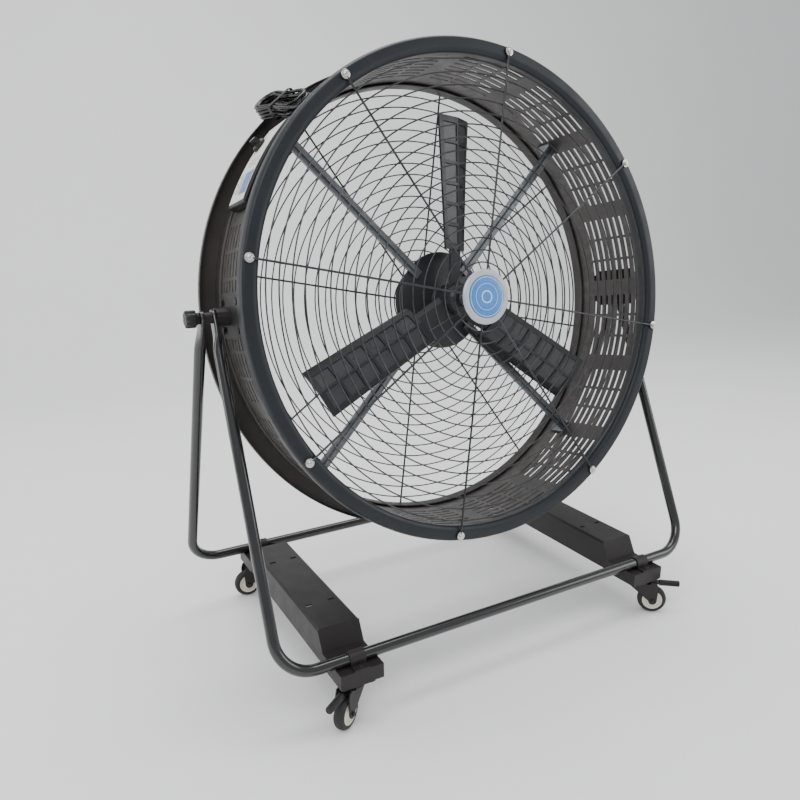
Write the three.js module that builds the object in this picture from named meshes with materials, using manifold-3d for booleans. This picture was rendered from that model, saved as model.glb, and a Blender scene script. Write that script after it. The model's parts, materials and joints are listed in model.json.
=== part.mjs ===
// Drum fan on a castered base, modelled in millimetres with +Z up.
// The fan blows toward -Y. The origin is on the floor, straight under the tilt axis.

import * as THREE from "three";
import { mergeVertices } from "three/addons/utils/BufferGeometryUtils.js";
import Module from "manifold-3d";

const wasm = await Module();
wasm.setup();

// ---------------------------------------------------------------- driving dimensions

const GAP = 0.3;                      // clearance between pieces that touch or turn
const SHELL_RADIUS = 552;             // outside of the drum wall, which rings and stand follow

// Stand: two bent tubes that meet at the tilt pivots.
const PIVOT_HEIGHT = 840;
const TUBE_DIAMETER = 25;
const LEG_CLEARANCE = 38;             // drum wall to the centre line of the front tube's legs
const FRONT_TUBE_HALF_WIDTH = SHELL_RADIUS + LEG_CLEARANCE;
const FRAME_HALF_DEPTH = 306;         // centre line of the cross tubes, front and rear
const FRAME_HEIGHT = 144;             // centre line of the cross tubes above the floor
const TUBE_BEND_RADIUS = 80;
const TAB_THICKNESS = 8;              // flattened tube end
const TAB_LENGTH = 62;
const TUBE_SIDES = 10;
const TUBE_BEND_STEPS = 4;

// Base rails: pressed channels with a low foot at each end.
const RAIL_INSET = 168;               // rail's centre line in from the front tube's legs
const RAIL_CENTRE = FRONT_TUBE_HALF_WIDTH - RAIL_INSET;
const RAIL_WIDTH = 100;
const RAIL_TOP = 178;
const RAISED_INSET = 84;              // cross tube's centre line to the raised part
const RAIL_RAISED_HALF_LENGTH = FRAME_HALF_DEPTH - RAISED_INSET;
const RAIL_CHAMFER_LENGTH = 24;
const FOOT_OVERHANG = 34;             // foot's end past the cross tube's centre line
const RAIL_HALF_LENGTH = FRAME_HALF_DEPTH + FOOT_OVERHANG;
const FOOT_BOTTOM = 98;
const SIDE_WALL_BOTTOM = 104;
const RAIL_WALL = 4;
const RAIL_EDGE = 5;                  // bevel along the top edges
const RAIL_SLOT_LENGTH = 16;
const RAIL_SLOT_WIDTH = 7;
const RAIL_SLOT_Y = 120;
const RAIL_SLOT_SPREAD = 56;

// Saddle clamps that hold the tubes on the feet.
const CLAMP_CENTRE = RAIL_CENTRE;
const CLAMP_WIDTH = 36;
const CLAMP_THICKNESS = 3;
const CLAMP_EAR = 18;
const SCREW_HEAD_RADIUS = 6.5;
const SCREW_HEAD_HEIGHT = 4;

// Casters.
const WHEEL_DIAMETER = 75;
const WHEEL_WIDTH = 24;
const WHEEL_SIDES = 14;
const RIM_RADIUS = 26;
const AXLE_RADIUS = 5;
const CASTER_OUTSET = 8;              // swivel axis out from the rail's centre line
const CASTER_SETBACK = 2;             // swivel axis past the cross tube's centre line
const CASTER_X = RAIL_CENTRE + CASTER_OUTSET;
const CASTER_Y = FRAME_HALF_DEPTH + CASTER_SETBACK;
const CASTER_TRAIL = 34;              // swivel axis to wheel axle
const CASTER_PLATE_THICKNESS = 3;
const RACE_RADIUS = 24;
const RACE_HEIGHT = 10;
const FORK_THICKNESS = 3;
const FORK_HALF_GAP = WHEEL_WIDTH / 2 + 2.5;
const FORK_CROWN_TOP = FOOT_BOTTOM - CASTER_PLATE_THICKNESS - RACE_HEIGHT - 2 * GAP;
const PEDAL_RADIUS = 8.5;
const PEDAL_SLEEVE_LENGTH = 52;
const PEDAL_PIN_RADIUS = 2.5;
const CASTERS = [
  { name: "front_left", side: -1, end: -1, trail: 215, brake: true },
  { name: "front_right", side: 1, end: -1, trail: 320, brake: true },
  { name: "rear_left", side: -1, end: 1, trail: 178, brake: false },
  { name: "rear_right", side: 1, end: 1, trail: 40, brake: false },
];

// Drum.
const REST_TILT = 8;                  // degrees that the front is raised at rest
const DRUM_SIDES = 36;
const SHELL_SIDES = 32;
const DRUM_DEPTH = 288;               // front bolt face plane to rear bolt face plane
const FRONT_TO_PIVOT = 160;
const SHELL_WALL = 4;
const FRONT_RING_OVERHANG = 23;       // how far each ring stands out past the wall
const REAR_RING_OVERHANG = 40;
const OPENING_INSET = 14;             // how far each ring's inner edge stands in from it
const BOLT_OUTSET = 9;                // bolt circle out from it
const FRONT_RING_RADIUS = SHELL_RADIUS + FRONT_RING_OVERHANG;
const REAR_RING_RADIUS = SHELL_RADIUS + REAR_RING_OVERHANG;
const OPENING_RADIUS = SHELL_RADIUS - OPENING_INSET;
const BOLT_CIRCLE_RADIUS = SHELL_RADIUS + BOLT_OUTSET;
const RING_WALL = 3;
const RING_ROLL = 10;                 // depth of the rolled outer edge
const RING_LEAD = 5;                  // depth of the slope at the inner edge
const BOLT_FACE_OUTER = 9;            // bolt face's edges from the bolt circle
const BOLT_FACE_INNER = 13;
const RING_SKIRT = 30;
const RING_SEAT = 12;                 // how far behind its bolt face a ring meets the shell
const RING_LIP = 34;
const BOLT_START = 33.75;             // degrees, first bolt; then every 45 degrees
const BOLT_COUNT = 8;
const BOLT_RADIUS = 7;
const WASHER_RADIUS = 10;
const WASHER_THICKNESS = 2;
const BOLT_HEAD_HEIGHT = 5;

// Vent slits in the shell wall.
const VENT_GROUPS = 16;
const VENT_ROWS = 4;
const VENT_ARC = 16.9;                // degrees that a slit spans
const VENT_SLIT_WIDTH = 11;
const VENT_FIRST_ROW = 66;            // depth behind the front bolt face
const VENT_ROW_PITCH = 48;

// Grilles.
const WIRE_WIDTH = 4.4;
const SPOKE_WIDTH = 4.6;
const WELD_DEPTH = 0.6;
const WIRE_SIDES = 24;
const FRONT_GRILLE_RINGS = 9;
const REAR_GRILLE_RINGS = 4;
const EYELET_RADIUS = 11;
const EYELET_THICKNESS = 2.5;
const BADGE_RADIUS = 64;
const BADGE_BORDER = 16;
const BADGE_DISC_RADIUS = BADGE_RADIUS - BADGE_BORDER;
const GRILLE_EDGE_GAP = 13;           // outermost wire in from the ring's inner edge
const GRILLE_BADGE_GAP = 16;          // innermost wire out from the badge's edge
const GRILLE_OUTER_RING = OPENING_RADIUS - GRILLE_EDGE_GAP;
const GRILLE_INNER_RING = BADGE_RADIUS + GRILLE_BADGE_GAP;
const HUB_PLATE_INSET = 14;           // the guard's middle plate in from the badge's edge
const HUB_PLATE_THICKNESS = 3;
const SPOKE_OVERLAP = 6;              // spokes start this far inside the middle plate
const BADGE_THICKNESS = 6;
const BADGE_SIDES = 18;

// Rotor and motor.
const BLADE_COUNT = 3;
const BLADE_FIRST_ANGLE = 86;
const BLADE_DEPTH = 116;              // blade plane behind the front bolt face
const BLADE_ROOT_RADIUS = 118;
const BLADE_TIP_RADIUS = 430;
const BLADE_CHORD = 122;
const BLADE_THICKNESS = 5;
const BLADE_RIDGE = 11;               // height of the fold above the chord line
const BLADE_ROOT_PITCH = 34;
const BLADE_TIP_PITCH = 22;
const BLADE_STATIONS = 5;
const POCKET_ROWS = 6;
const POCKET_DEPTH = 2;
const ARM_THICKNESS = 6;
const ARM_REACH = 178;
const HUB_RADIUS = 40;
const HUB_LENGTH = 64;
const SHAFT_RADIUS = 10;
const STRUT_DEPTH = 178;
const STRUT_WIDTH = 24;
const STRUT_THICKNESS = 8;
const STRUT_FOOT_LENGTH = 46;
const MOTOR_RADIUS = 98;
const MOTOR_FLANGE_RADIUS = 122;
const MOTOR_LENGTH = 88;

// Pivot brackets, knobs, control box and cord.
const BRACKET_LENGTH = 150;
const BRACKET_HEIGHT = 98;
const BRACKET_THICKNESS = 6;
const PIVOT_BOSS_RADIUS = 20;
const PIVOT_STUD_RADIUS = 6;
const KNOB_RADIUS = 19;
const KNOB_LENGTH = 30;
const BOX_START = 135.5;              // degrees round the drum, 0 at +X, 90 at the top
const BOX_END = 156.5;
const BOX_FRONT = 80;
const BOX_REAR = 194;
const BOX_HEIGHT = 19;
const PANEL_MARGIN = 7;
const PANEL_THICKNESS = 1.6;
const SWITCH_ANGLE = 141.5;
const SWITCH_DEPTH = 160;
const SWITCH_RADIUS = 17;
const SWITCH_HEIGHT = 22;

// Mains cord: a short lead out of the box, a stowed hank and a short tail to the plug.
const CORD_DIAMETER = 7;
const CORD_EXIT_DEPTH = 90;
const GLAND_LENGTH = 24;
const GLAND_RADIUS = 8.5;
const HANK_ANGLE = 129.375;           // middle of the wall facet that the hank lies on
const HANK_FRONT = 104;               // depth of its nearest loop
const HANK_LAYERS = 4;
const HANK_TURNS_PER_LAYER = 2;
const HANK_FOLD_RADIUS = 21;          // innermost fold
const HANK_HALF_RUN = 55;
const HANK_STEP = 8.1;                // cord centre to cord centre, across and up
const HANK_WAIST_DRAW = 6;            // how far the tie draws each run in
const LOOP_STEPS = 18;
const LOOP_SIDES = 6;
const TIE_WIDTH = 12;
const TIE_THICKNESS = 1.5;
const PLUG_LENGTH = 38;
const PLUG_RADIUS = 11;
const BLADE_PIN_LENGTH = 15;

// ---------------------------------------------------------------- solids

function closed(geometry) {
  const bare = geometry.clone();
  for (const name of Object.keys(bare.attributes)) {
    if (name !== "position") bare.deleteAttribute(name);
  }
  const merged = mergeVertices(bare, 1e-4);
  const corner = merged.index.array;
  const kept = [];
  for (let i = 0; i < corner.length; i += 3) {
    const [a, b, c] = [corner[i], corner[i + 1], corner[i + 2]];
    if (a !== b && b !== c && c !== a) kept.push(a, b, c);
  }
  if (signedVolume(merged, kept) < 0) {
    for (let i = 0; i < kept.length; i += 3) {
      [kept[i], kept[i + 1]] = [kept[i + 1], kept[i]];
    }
  }
  merged.setIndex(kept);
  return merged;
}

function signedVolume(geometry, corners) {
  const position = geometry.attributes.position;
  const [a, b, c] = [new THREE.Vector3(), new THREE.Vector3(), new THREE.Vector3()];
  let total = 0;
  for (let i = 0; i < corners.length; i += 3) {
    a.fromBufferAttribute(position, corners[i]);
    b.fromBufferAttribute(position, corners[i + 1]);
    c.fromBufferAttribute(position, corners[i + 2]);
    total += a.dot(b.cross(c)) / 6;
  }
  return total;
}

function solid(geometry) {
  const merged = closed(geometry);
  return new wasm.Manifold(new wasm.Mesh({
    numProp: 3,
    vertProperties: new Float32Array(merged.attributes.position.array),
    triVerts: new Uint32Array(merged.index.array),
  }));
}

function geometryOf(manifold) {
  const mesh = manifold.getMesh();
  const geometry = new THREE.BufferGeometry();
  geometry.setAttribute("position", new THREE.BufferAttribute(mesh.vertProperties, 3));
  geometry.setIndex(new THREE.BufferAttribute(mesh.triVerts, 1));
  return geometry;
}

function join(...geometries) {
  return geometryOf(geometries.map(solid).reduce((whole, piece) => whole.add(piece)));
}

function cut(body, ...tools) {
  const removed = tools.map(solid).reduce((whole, piece) => whole.add(piece));
  return geometryOf(solid(body).subtract(removed));
}

function overlapOf(a, b) {
  return geometryOf(solid(a).intersect(solid(b)));
}

const radians = THREE.MathUtils.degToRad;

function box(width, depth, height, x = 0, y = 0, z = 0) {
  return new THREE.BoxGeometry(width, depth, height).translate(x, y, z);
}

// A round bar between two points.
function bar(start, end, radius, sides = 12) {
  const along = new THREE.Vector3().subVectors(end, start);
  const cylinder = new THREE.CylinderGeometry(radius, radius, along.length(), sides);
  const upright = new THREE.Vector3(0, 1, 0);
  const turn = new THREE.Quaternion().setFromUnitVectors(upright, along.clone().normalize());
  const middle = new THREE.Vector3().addVectors(start, end).multiplyScalar(0.5);
  return cylinder.applyQuaternion(turn).translate(middle.x, middle.y, middle.z);
}

// A revolve about the local Y axis from a closed [radius, along] outline.
function revolve(outline, sides) {
  const points = outline.map(([radius, along]) => new THREE.Vector2(radius, along));
  points.push(points[0].clone());
  return new THREE.LatheGeometry(points, sides);
}

// A flat outline drawn in Y and Z, thickened along X about the plane x = at.
function plateAcrossX(outline, thickness, at, holes = []) {
  const shape = new THREE.Shape(outline.map(([y, z]) => new THREE.Vector2(y, z)));
  for (const [y, z, radius] of holes) {
    shape.holes.push(new THREE.Path().absarc(y, z, radius, 0, 2 * Math.PI, true));
  }
  const plate = new THREE.ExtrudeGeometry(shape, { depth: thickness, bevelEnabled: false, curveSegments: 8 });
  plate.rotateX(Math.PI / 2);
  plate.rotateZ(Math.PI / 2);
  return plate.translate(at - thickness / 2, 0, 0);
}

// A route whose sweep has one section at each station, so that straights cost no facets.
class StationRoute extends THREE.Curve {
  constructor(stations) {
    super();
    this.stations = stations;
  }

  getPoint(t, target = new THREE.Vector3()) {
    const at = t * (this.stations.length - 1);
    const index = Math.min(Math.floor(at), this.stations.length - 2);
    return target.lerpVectors(this.stations[index], this.stations[index + 1], at - index);
  }

  getPointAt(u, target) {
    return this.getPoint(u, target);
  }

  getTangentAt(u, target = new THREE.Vector3()) {
    const last = this.stations.length - 1;
    const index = Math.round(u * last);
    const before = this.stations[Math.max(index - 1, 0)];
    const after = this.stations[Math.min(index + 1, last)];
    return target.subVectors(after, before).normalize();
  }
}

function sweep(stations, radius, sides) {
  const circle = new THREE.Shape();
  for (let i = 0; i < sides; i += 1) {
    const angle = (2 * Math.PI * i) / sides;
    const point = [radius * Math.cos(angle), radius * Math.sin(angle)];
    if (i === 0) circle.moveTo(...point);
    else circle.lineTo(...point);
  }
  return new THREE.ExtrudeGeometry(circle, {
    steps: stations.length - 1,
    extrudePath: new StationRoute(stations),
    bevelEnabled: false,
  });
}

// Stations along a polyline whose inner corners are rounded to one bend radius.
function bentRoute(corners, bendRadius, steps) {
  const stations = [corners[0]];
  for (let i = 1; i < corners.length - 1; i += 1) {
    const inward = new THREE.Vector3().subVectors(corners[i - 1], corners[i]).normalize();
    const outward = new THREE.Vector3().subVectors(corners[i + 1], corners[i]).normalize();
    const half = inward.angleTo(outward) / 2;
    const centreDistance = bendRadius / Math.sin(half);
    const bisector = new THREE.Vector3().addVectors(inward, outward).normalize();
    const centre = corners[i].clone().addScaledVector(bisector, centreDistance);
    const from = corners[i].clone().addScaledVector(inward, bendRadius / Math.tan(half)).sub(centre);
    const axis = new THREE.Vector3().crossVectors(outward, inward).normalize();
    const sweepAngle = Math.PI - 2 * half;
    for (let k = 0; k <= steps; k += 1) {
      stations.push(from.clone().applyAxisAngle(axis, (sweepAngle * k) / steps).add(centre));
    }
  }
  stations.push(corners[corners.length - 1]);
  return stations;
}

// A closed body through rings of points that all have the same count.
function loft(rings) {
  const count = rings[0].length;
  const positions = rings.flat().flatMap((point) => point.toArray());
  const faces = [];
  for (let i = 0; i < rings.length - 1; i += 1) {
    for (let j = 0; j < count; j += 1) {
      const a = i * count + j;
      const b = i * count + ((j + 1) % count);
      faces.push(a, b, b + count, a, b + count, a + count);
    }
  }
  const end = (rings.length - 1) * count;
  for (let i = 0; i < count / 2 - 1; i += 1) {
    const [a, b, c, d] = [i, i + 1, count - 2 - i, count - 1 - i];
    faces.push(a, d, b, b, d, c);
    faces.push(end + a, end + b, end + d, end + b, end + c, end + d);
  }
  const geometry = new THREE.BufferGeometry();
  geometry.setAttribute("position", new THREE.Float32BufferAttribute(positions, 3));
  geometry.setIndex(faces);
  return geometry;
}

// ---------------------------------------------------------------- finishes

function finish(color, roughness, metalness = 0) {
  return new THREE.MeshStandardMaterial({ color, roughness, metalness });
}

const blackPaint = () => finish(0x16181b, 0.28, 0.3);
const satinSteel = () => finish(0x3f3c3c, 0.5, 0.3);
const drumPlastic = () => finish(0x2c3238, 0.55);
const shellPlastic = () => finish(0x25221f, 0.6);
const zincWire = () => finish(0x8d9296, 0.35, 0.9);
const galvanised = () => finish(0x9aa0a4, 0.42, 0.9);
const bladePlastic = () => finish(0x202326, 0.4);
const motorPaint = () => finish(0x2b2f33, 0.5, 0.3);
const knobPlastic = () => finish(0x0d0d0e, 0.45);
const tyreRubber = () => finish(0x151515, 0.75);
const rimPlastic = () => finish(0xe6e1d2, 0.5);
const panelWhite = () => finish(0xe9ebe6, 0.5);
const badgeGrey = () => finish(0xc9cdd2, 0.4);
const badgeBlue = () => finish(0x2f6fd0, 0.4);
const cordRubber = () => finish(0x0b0b0c, 0.4);

const fan = new THREE.Group();

function piece(name, geometry, material, parent = fan) {
  const mesh = new THREE.Mesh(closed(geometry), material);
  mesh.name = name;
  parent.add(mesh);
  return mesh;
}

// ---------------------------------------------------------------- stand

const TUBE_RADIUS = TUBE_DIAMETER / 2;
const REAR_TUBE_HALF_WIDTH = FRONT_TUBE_HALF_WIDTH + TUBE_DIAMETER + 0.5;
const FOOT_TOP = FRAME_HEIGHT - TUBE_RADIUS - GAP;

// One U-shaped tube with its ends flattened and drilled for the pivot stud.
function frameTube(halfWidth, end) {
  const legDirection = new THREE.Vector3(0, -end * FRAME_HALF_DEPTH, PIVOT_HEIGHT - FRAME_HEIGHT).normalize();
  const legEnd = new THREE.Vector3(0, 0, PIVOT_HEIGHT).addScaledVector(legDirection, -TAB_LENGTH);
  const corners = [
    new THREE.Vector3(-halfWidth, legEnd.y, legEnd.z),
    new THREE.Vector3(-halfWidth, end * FRAME_HALF_DEPTH, FRAME_HEIGHT),
    new THREE.Vector3(halfWidth, end * FRAME_HALF_DEPTH, FRAME_HEIGHT),
    new THREE.Vector3(halfWidth, legEnd.y, legEnd.z),
  ];
  const tube = sweep(bentRoute(corners, TUBE_BEND_RADIUS, TUBE_BEND_STEPS), TUBE_RADIUS, TUBE_SIDES);
  const tilt = Math.atan2(legDirection.y, legDirection.z);
  return join(tube, tubeEndTab(-halfWidth, tilt), tubeEndTab(halfWidth, tilt));
}

// The flattened end, rounded over the pivot and widening out of the tube.
function tubeEndTab(x, tilt) {
  const halfTab = 17;
  const overlap = 14;
  const shape = new THREE.Shape();
  shape.moveTo(-TUBE_RADIUS + 1, -TAB_LENGTH - overlap);
  shape.lineTo(TUBE_RADIUS - 1, -TAB_LENGTH - overlap);
  shape.lineTo(halfTab, -TAB_LENGTH + overlap);
  shape.lineTo(halfTab, 0);
  shape.absarc(0, 0, halfTab, 0, Math.PI, false);
  shape.lineTo(-halfTab, -TAB_LENGTH + overlap);
  shape.holes.push(new THREE.Path().absarc(0, 0, PIVOT_STUD_RADIUS + GAP, 0, 2 * Math.PI, true));
  const tab = new THREE.ExtrudeGeometry(shape, {
    depth: TAB_THICKNESS, bevelEnabled: false, curveSegments: 6,
  });
  tab.translate(0, 0, -TAB_THICKNESS / 2);
  tab.rotateX(Math.PI / 2);
  tab.rotateZ(Math.PI / 2);
  tab.rotateX(-tilt);
  return tab.translate(x, 0, PIVOT_HEIGHT);
}

// Pressed channel: a raised middle, sloping steps and a boxed foot at each end.
function baseRail() {
  const raised = RAIL_RAISED_HALF_LENGTH;
  const step = raised + RAIL_CHAMFER_LENGTH;
  const side = [
    [-RAIL_HALF_LENGTH, FOOT_BOTTOM], [-step, FOOT_BOTTOM], [-step, SIDE_WALL_BOTTOM],
    [step, SIDE_WALL_BOTTOM], [step, FOOT_BOTTOM], [RAIL_HALF_LENGTH, FOOT_BOTTOM],
    [RAIL_HALF_LENGTH, FOOT_TOP], [step, FOOT_TOP], [raised, RAIL_TOP],
    [-raised, RAIL_TOP], [-step, FOOT_TOP], [-RAIL_HALF_LENGTH, FOOT_TOP],
  ];
  const block = plateAcrossX(side, RAIL_WIDTH, 0);
  const hollow = [
    [-step + RAIL_WALL, SIDE_WALL_BOTTOM - 10], [step - RAIL_WALL, SIDE_WALL_BOTTOM - 10],
    [step - RAIL_WALL, FOOT_TOP - RAIL_WALL], [raised - RAIL_WALL, RAIL_TOP - RAIL_WALL],
    [-raised + RAIL_WALL, RAIL_TOP - RAIL_WALL], [-step + RAIL_WALL, FOOT_TOP - RAIL_WALL],
  ];
  const pocket = plateAcrossX(hollow, RAIL_WIDTH - 2 * RAIL_WALL, 0);
  const bevelOffset = RAIL_EDGE * (Math.SQRT1_2 - 0.5);
  const bevels = [-1, 1].map((way) => {
    const bevel = box(2 * RAIL_EDGE, 2 * raised + 2, 2 * RAIL_EDGE).rotateY(Math.PI / 4);
    return bevel.translate(way * (RAIL_WIDTH / 2 + bevelOffset), 0, RAIL_TOP + bevelOffset);
  });
  const slots = [];
  for (const y of [-RAIL_SLOT_Y, RAIL_SLOT_Y]) {
    for (const x of [-RAIL_SLOT_SPREAD / 2, RAIL_SLOT_SPREAD / 2]) {
      slots.push(box(RAIL_SLOT_LENGTH, RAIL_SLOT_WIDTH, 4 * RAIL_WALL, x, y, RAIL_TOP));
    }
  }
  return cut(block, pocket, ...bevels, ...slots);
}

// A saddle strap over the tube, with a screwed ear in front and behind.
function saddleClamp() {
  const inner = TUBE_RADIUS + GAP;
  const outer = inner + CLAMP_THICKNESS;
  const floor = -TUBE_RADIUS;
  const strap = new THREE.Shape();
  strap.moveTo(-outer - CLAMP_EAR, floor);
  strap.lineTo(-inner, floor);
  strap.lineTo(-inner, 0);
  strap.absarc(0, 0, inner, Math.PI, 0, true);
  strap.lineTo(inner, floor);
  strap.lineTo(outer + CLAMP_EAR, floor);
  strap.lineTo(outer + CLAMP_EAR, floor + CLAMP_THICKNESS);
  strap.lineTo(outer, floor + CLAMP_THICKNESS);
  strap.lineTo(outer, 0);
  strap.absarc(0, 0, outer, 0, Math.PI, false);
  strap.lineTo(-outer, floor + CLAMP_THICKNESS);
  strap.lineTo(-outer - CLAMP_EAR, floor + CLAMP_THICKNESS);
  const body = new THREE.ExtrudeGeometry(strap, {
    depth: CLAMP_WIDTH, bevelEnabled: false, curveSegments: 4,
  });
  body.translate(0, 0, -CLAMP_WIDTH / 2);
  body.rotateX(Math.PI / 2);
  body.rotateZ(Math.PI / 2);
  const screws = [-1, 1].map((way) => {
    const height = SCREW_HEAD_HEIGHT + 1;
    const head = new THREE.CylinderGeometry(SCREW_HEAD_RADIUS * 0.7, SCREW_HEAD_RADIUS, height, 8);
    head.rotateX(Math.PI / 2);
    const above = floor + CLAMP_THICKNESS + (SCREW_HEAD_HEIGHT - 1) / 2;
    return head.translate(0, way * (outer + CLAMP_EAR / 2), above);
  });
  return join(body, ...screws);
}

function addStand() {
  piece("front_frame_tube", frameTube(FRONT_TUBE_HALF_WIDTH, -1), blackPaint());
  piece("rear_frame_tube", frameTube(REAR_TUBE_HALF_WIDTH, 1), blackPaint());
  for (const [word, side] of [["left", -1], ["right", 1]]) {
    piece(`${word}_base_rail`, baseRail(), satinSteel()).position.x = side * RAIL_CENTRE;
    for (const [place, end] of [["front", -1], ["rear", 1]]) {
      const clamp = piece(`${place}_${word}_clamp`, saddleClamp(), satinSteel());
      clamp.position.set(side * CLAMP_CENTRE, end * FRAME_HALF_DEPTH, FRAME_HEIGHT);
    }
    addPivotSpacer(word, side);
  }
}

// The sleeve on the stud that keeps the two tube ends apart.
function addPivotSpacer(word, side) {
  const from = FRONT_TUBE_HALF_WIDTH + TAB_THICKNESS / 2 + GAP;
  const to = REAR_TUBE_HALF_WIDTH - TAB_THICKNESS / 2 - GAP;
  const bore = PIVOT_STUD_RADIUS + GAP;
  const sleeve = revolve([[bore, from], [bore + 6, from], [bore + 6, to], [bore, to]], 16);
  sleeve.rotateZ(-side * Math.PI / 2);
  piece(`${word}_pivot_spacer`, sleeve, galvanised()).position.z = PIVOT_HEIGHT;
}

// ---------------------------------------------------------------- casters

// Swivel fork, drawn with its swivel axis on the origin and the wheel trailing toward +X.
function casterFork() {
  const half = FORK_HALF_GAP;
  const outside = half + FORK_THICKNESS;
  const axleHeight = WHEEL_DIAMETER / 2;
  const crownTop = FORK_CROWN_TOP;
  const crownBottom = crownTop - FORK_THICKNESS;
  const leg = new THREE.Shape();
  leg.moveTo(-RACE_RADIUS, crownTop);
  leg.lineTo(-RACE_RADIUS, crownBottom - 4);
  leg.lineTo(CASTER_TRAIL - 11, axleHeight);
  leg.absarc(CASTER_TRAIL, axleHeight, 11, Math.PI, 2 * Math.PI, false);
  leg.lineTo(CASTER_TRAIL + 13, crownTop - 8);
  leg.lineTo(CASTER_TRAIL + 8, crownTop + 6);
  leg.lineTo(RACE_RADIUS + 3, crownTop + 6);
  leg.lineTo(RACE_RADIUS + 1, crownTop);
  const legs = [-1, 1].map((way) => {
    const plate = new THREE.ExtrudeGeometry(leg, {
      depth: FORK_THICKNESS, bevelEnabled: false, curveSegments: 3,
    });
    return plate.rotateX(Math.PI / 2).translate(0, way > 0 ? outside : -half, 0);
  });
  const crown = box(2 * RACE_RADIUS, 2 * half + 1, FORK_THICKNESS, 0, 0, crownTop - FORK_THICKNESS / 2);
  const race = new THREE.CylinderGeometry(RACE_RADIUS - 2, RACE_RADIUS, RACE_HEIGHT + 1, 8);
  race.rotateX(Math.PI / 2).translate(0, 0, crownTop + (RACE_HEIGHT - 1) / 2);
  const axle = bar(
    new THREE.Vector3(CASTER_TRAIL, -outside - 4, axleHeight),
    new THREE.Vector3(CASTER_TRAIL, outside + 4, axleHeight), AXLE_RADIUS, 6);
  return join(...legs, crown, race, axle);
}

function casterPlate() {
  const plate = box(76, 62, CASTER_PLATE_THICKNESS);
  const bolts = [];
  for (const x of [-31, 31]) {
    for (const y of [-24, 24]) {
      bolts.push(box(8, 8, 4.5, x, y, -2.25));
    }
  }
  return join(plate, ...bolts);
}

function wheelTyre() {
  const outer = WHEEL_DIAMETER / 2;
  const half = WHEEL_WIDTH / 2;
  const seat = RIM_RADIUS + GAP;
  return revolve([
    [seat, -half], [outer - 5, -half], [outer, -half + 6], [outer, half - 6], [outer - 5, half], [seat, half],
  ], WHEEL_SIDES);
}

function wheelRim() {
  const half = WHEEL_WIDTH / 2;
  const bore = AXLE_RADIUS + GAP;
  const dish = 4;
  return revolve([
    [bore, -half - 1.5], [12, -half - 1.5], [RIM_RADIUS - 9, -half + dish], [RIM_RADIUS, -half],
    [RIM_RADIUS, half], [RIM_RADIUS - 9, half - dish], [12, half + 1.5], [bore, half + 1.5],
  ], WHEEL_SIDES);
}

// Foot pedal: an arm pinned between the fork ears, with a round sleeve on its end.
function brakePedal() {
  const pinAt = new THREE.Vector3(CASTER_TRAIL, 0, FORK_CROWN_TOP + 1);
  const width = WHEEL_WIDTH - 2;
  const arm = box(40, width, 4, CASTER_TRAIL + 14, 0, pinAt.z);
  const pin = bar(
    new THREE.Vector3(pinAt.x, -FORK_HALF_GAP + GAP, pinAt.z),
    new THREE.Vector3(pinAt.x, FORK_HALF_GAP - GAP, pinAt.z), PEDAL_PIN_RADIUS, 8);
  const start = new THREE.Vector3(pinAt.x + 16, 0, pinAt.z);
  const tip = start.clone().add(new THREE.Vector3(PEDAL_SLEEVE_LENGTH, 0, 0));
  const sleeve = bar(start, tip, PEDAL_RADIUS, 14);
  return join(arm, pin, sleeve);
}

function addCaster({ name, side, end, trail, brake }) {
  const plate = piece(`${name}_caster_plate`, casterPlate(), satinSteel());
  plate.position.set(side * CASTER_X, end * CASTER_Y, FOOT_BOTTOM - GAP - CASTER_PLATE_THICKNESS / 2);
  const swivel = new THREE.Group();
  swivel.position.set(side * CASTER_X, end * CASTER_Y, 0);
  swivel.rotation.z = radians(trail);
  fan.add(swivel);
  piece(`${name}_caster_fork`, casterFork(), satinSteel(), swivel);
  const wheel = new THREE.Group();
  wheel.position.set(CASTER_TRAIL, 0, WHEEL_DIAMETER / 2);
  swivel.add(wheel);
  piece(`${name}_tyre`, wheelTyre(), tyreRubber(), wheel);
  piece(`${name}_rim`, wheelRim(), rimPlastic(), wheel);
  if (brake) piece(`${name}_brake_pedal`, brakePedal(), knobPlastic(), swivel);
}

// ---------------------------------------------------------------- drum

// Drum pieces are drawn round the local Y axis: y is the depth behind the front bolt face.
const drum = new THREE.Group();
drum.position.z = PIVOT_HEIGHT;
drum.rotation.x = -radians(REST_TILT);
fan.add(drum);
const drumParts = new THREE.Group();
drumParts.position.y = -FRONT_TO_PIVOT;
drum.add(drumParts);

const SHELL_INNER_RADIUS = SHELL_RADIUS - SHELL_WALL;
const SHELL_FLAT_RADIUS = SHELL_INNER_RADIUS * Math.cos(Math.PI / SHELL_SIDES);   // inside, mid facet

// A point on the drum at an angle from +X toward the top.
function onDrum(radius, degrees, depth) {
  const angle = radians(degrees);
  return new THREE.Vector3(radius * Math.cos(angle), depth, radius * Math.sin(angle));
}

// Turns a piece drawn at the +X side of the drum round to an angle.
function turned(geometry, degrees) {
  return geometry.rotateY(-radians(degrees));
}

function drumShell() {
  const front = RING_SEAT + GAP;
  const rear = DRUM_DEPTH - RING_SEAT - GAP;
  const tube = revolve([
    [SHELL_INNER_RADIUS, front], [SHELL_RADIUS, front], [SHELL_RADIUS, rear], [SHELL_INNER_RADIUS, rear],
  ], SHELL_SIDES);
  const slitLength = 2 * SHELL_RADIUS * Math.sin(radians(VENT_ARC / 2));
  const slits = [];
  for (let group = 0; group < VENT_GROUPS; group += 1) {
    for (let row = 0; row < VENT_ROWS; row += 1) {
      const depth = VENT_FIRST_ROW + row * VENT_ROW_PITCH;
      const slit = box(40, VENT_SLIT_WIDTH, slitLength, SHELL_INNER_RADIUS, depth, 0);
      slits.push(turned(slit, ((group + 0.5) * 360) / VENT_GROUPS));
    }
  }
  return cut(tube, ...slits);
}

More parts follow.
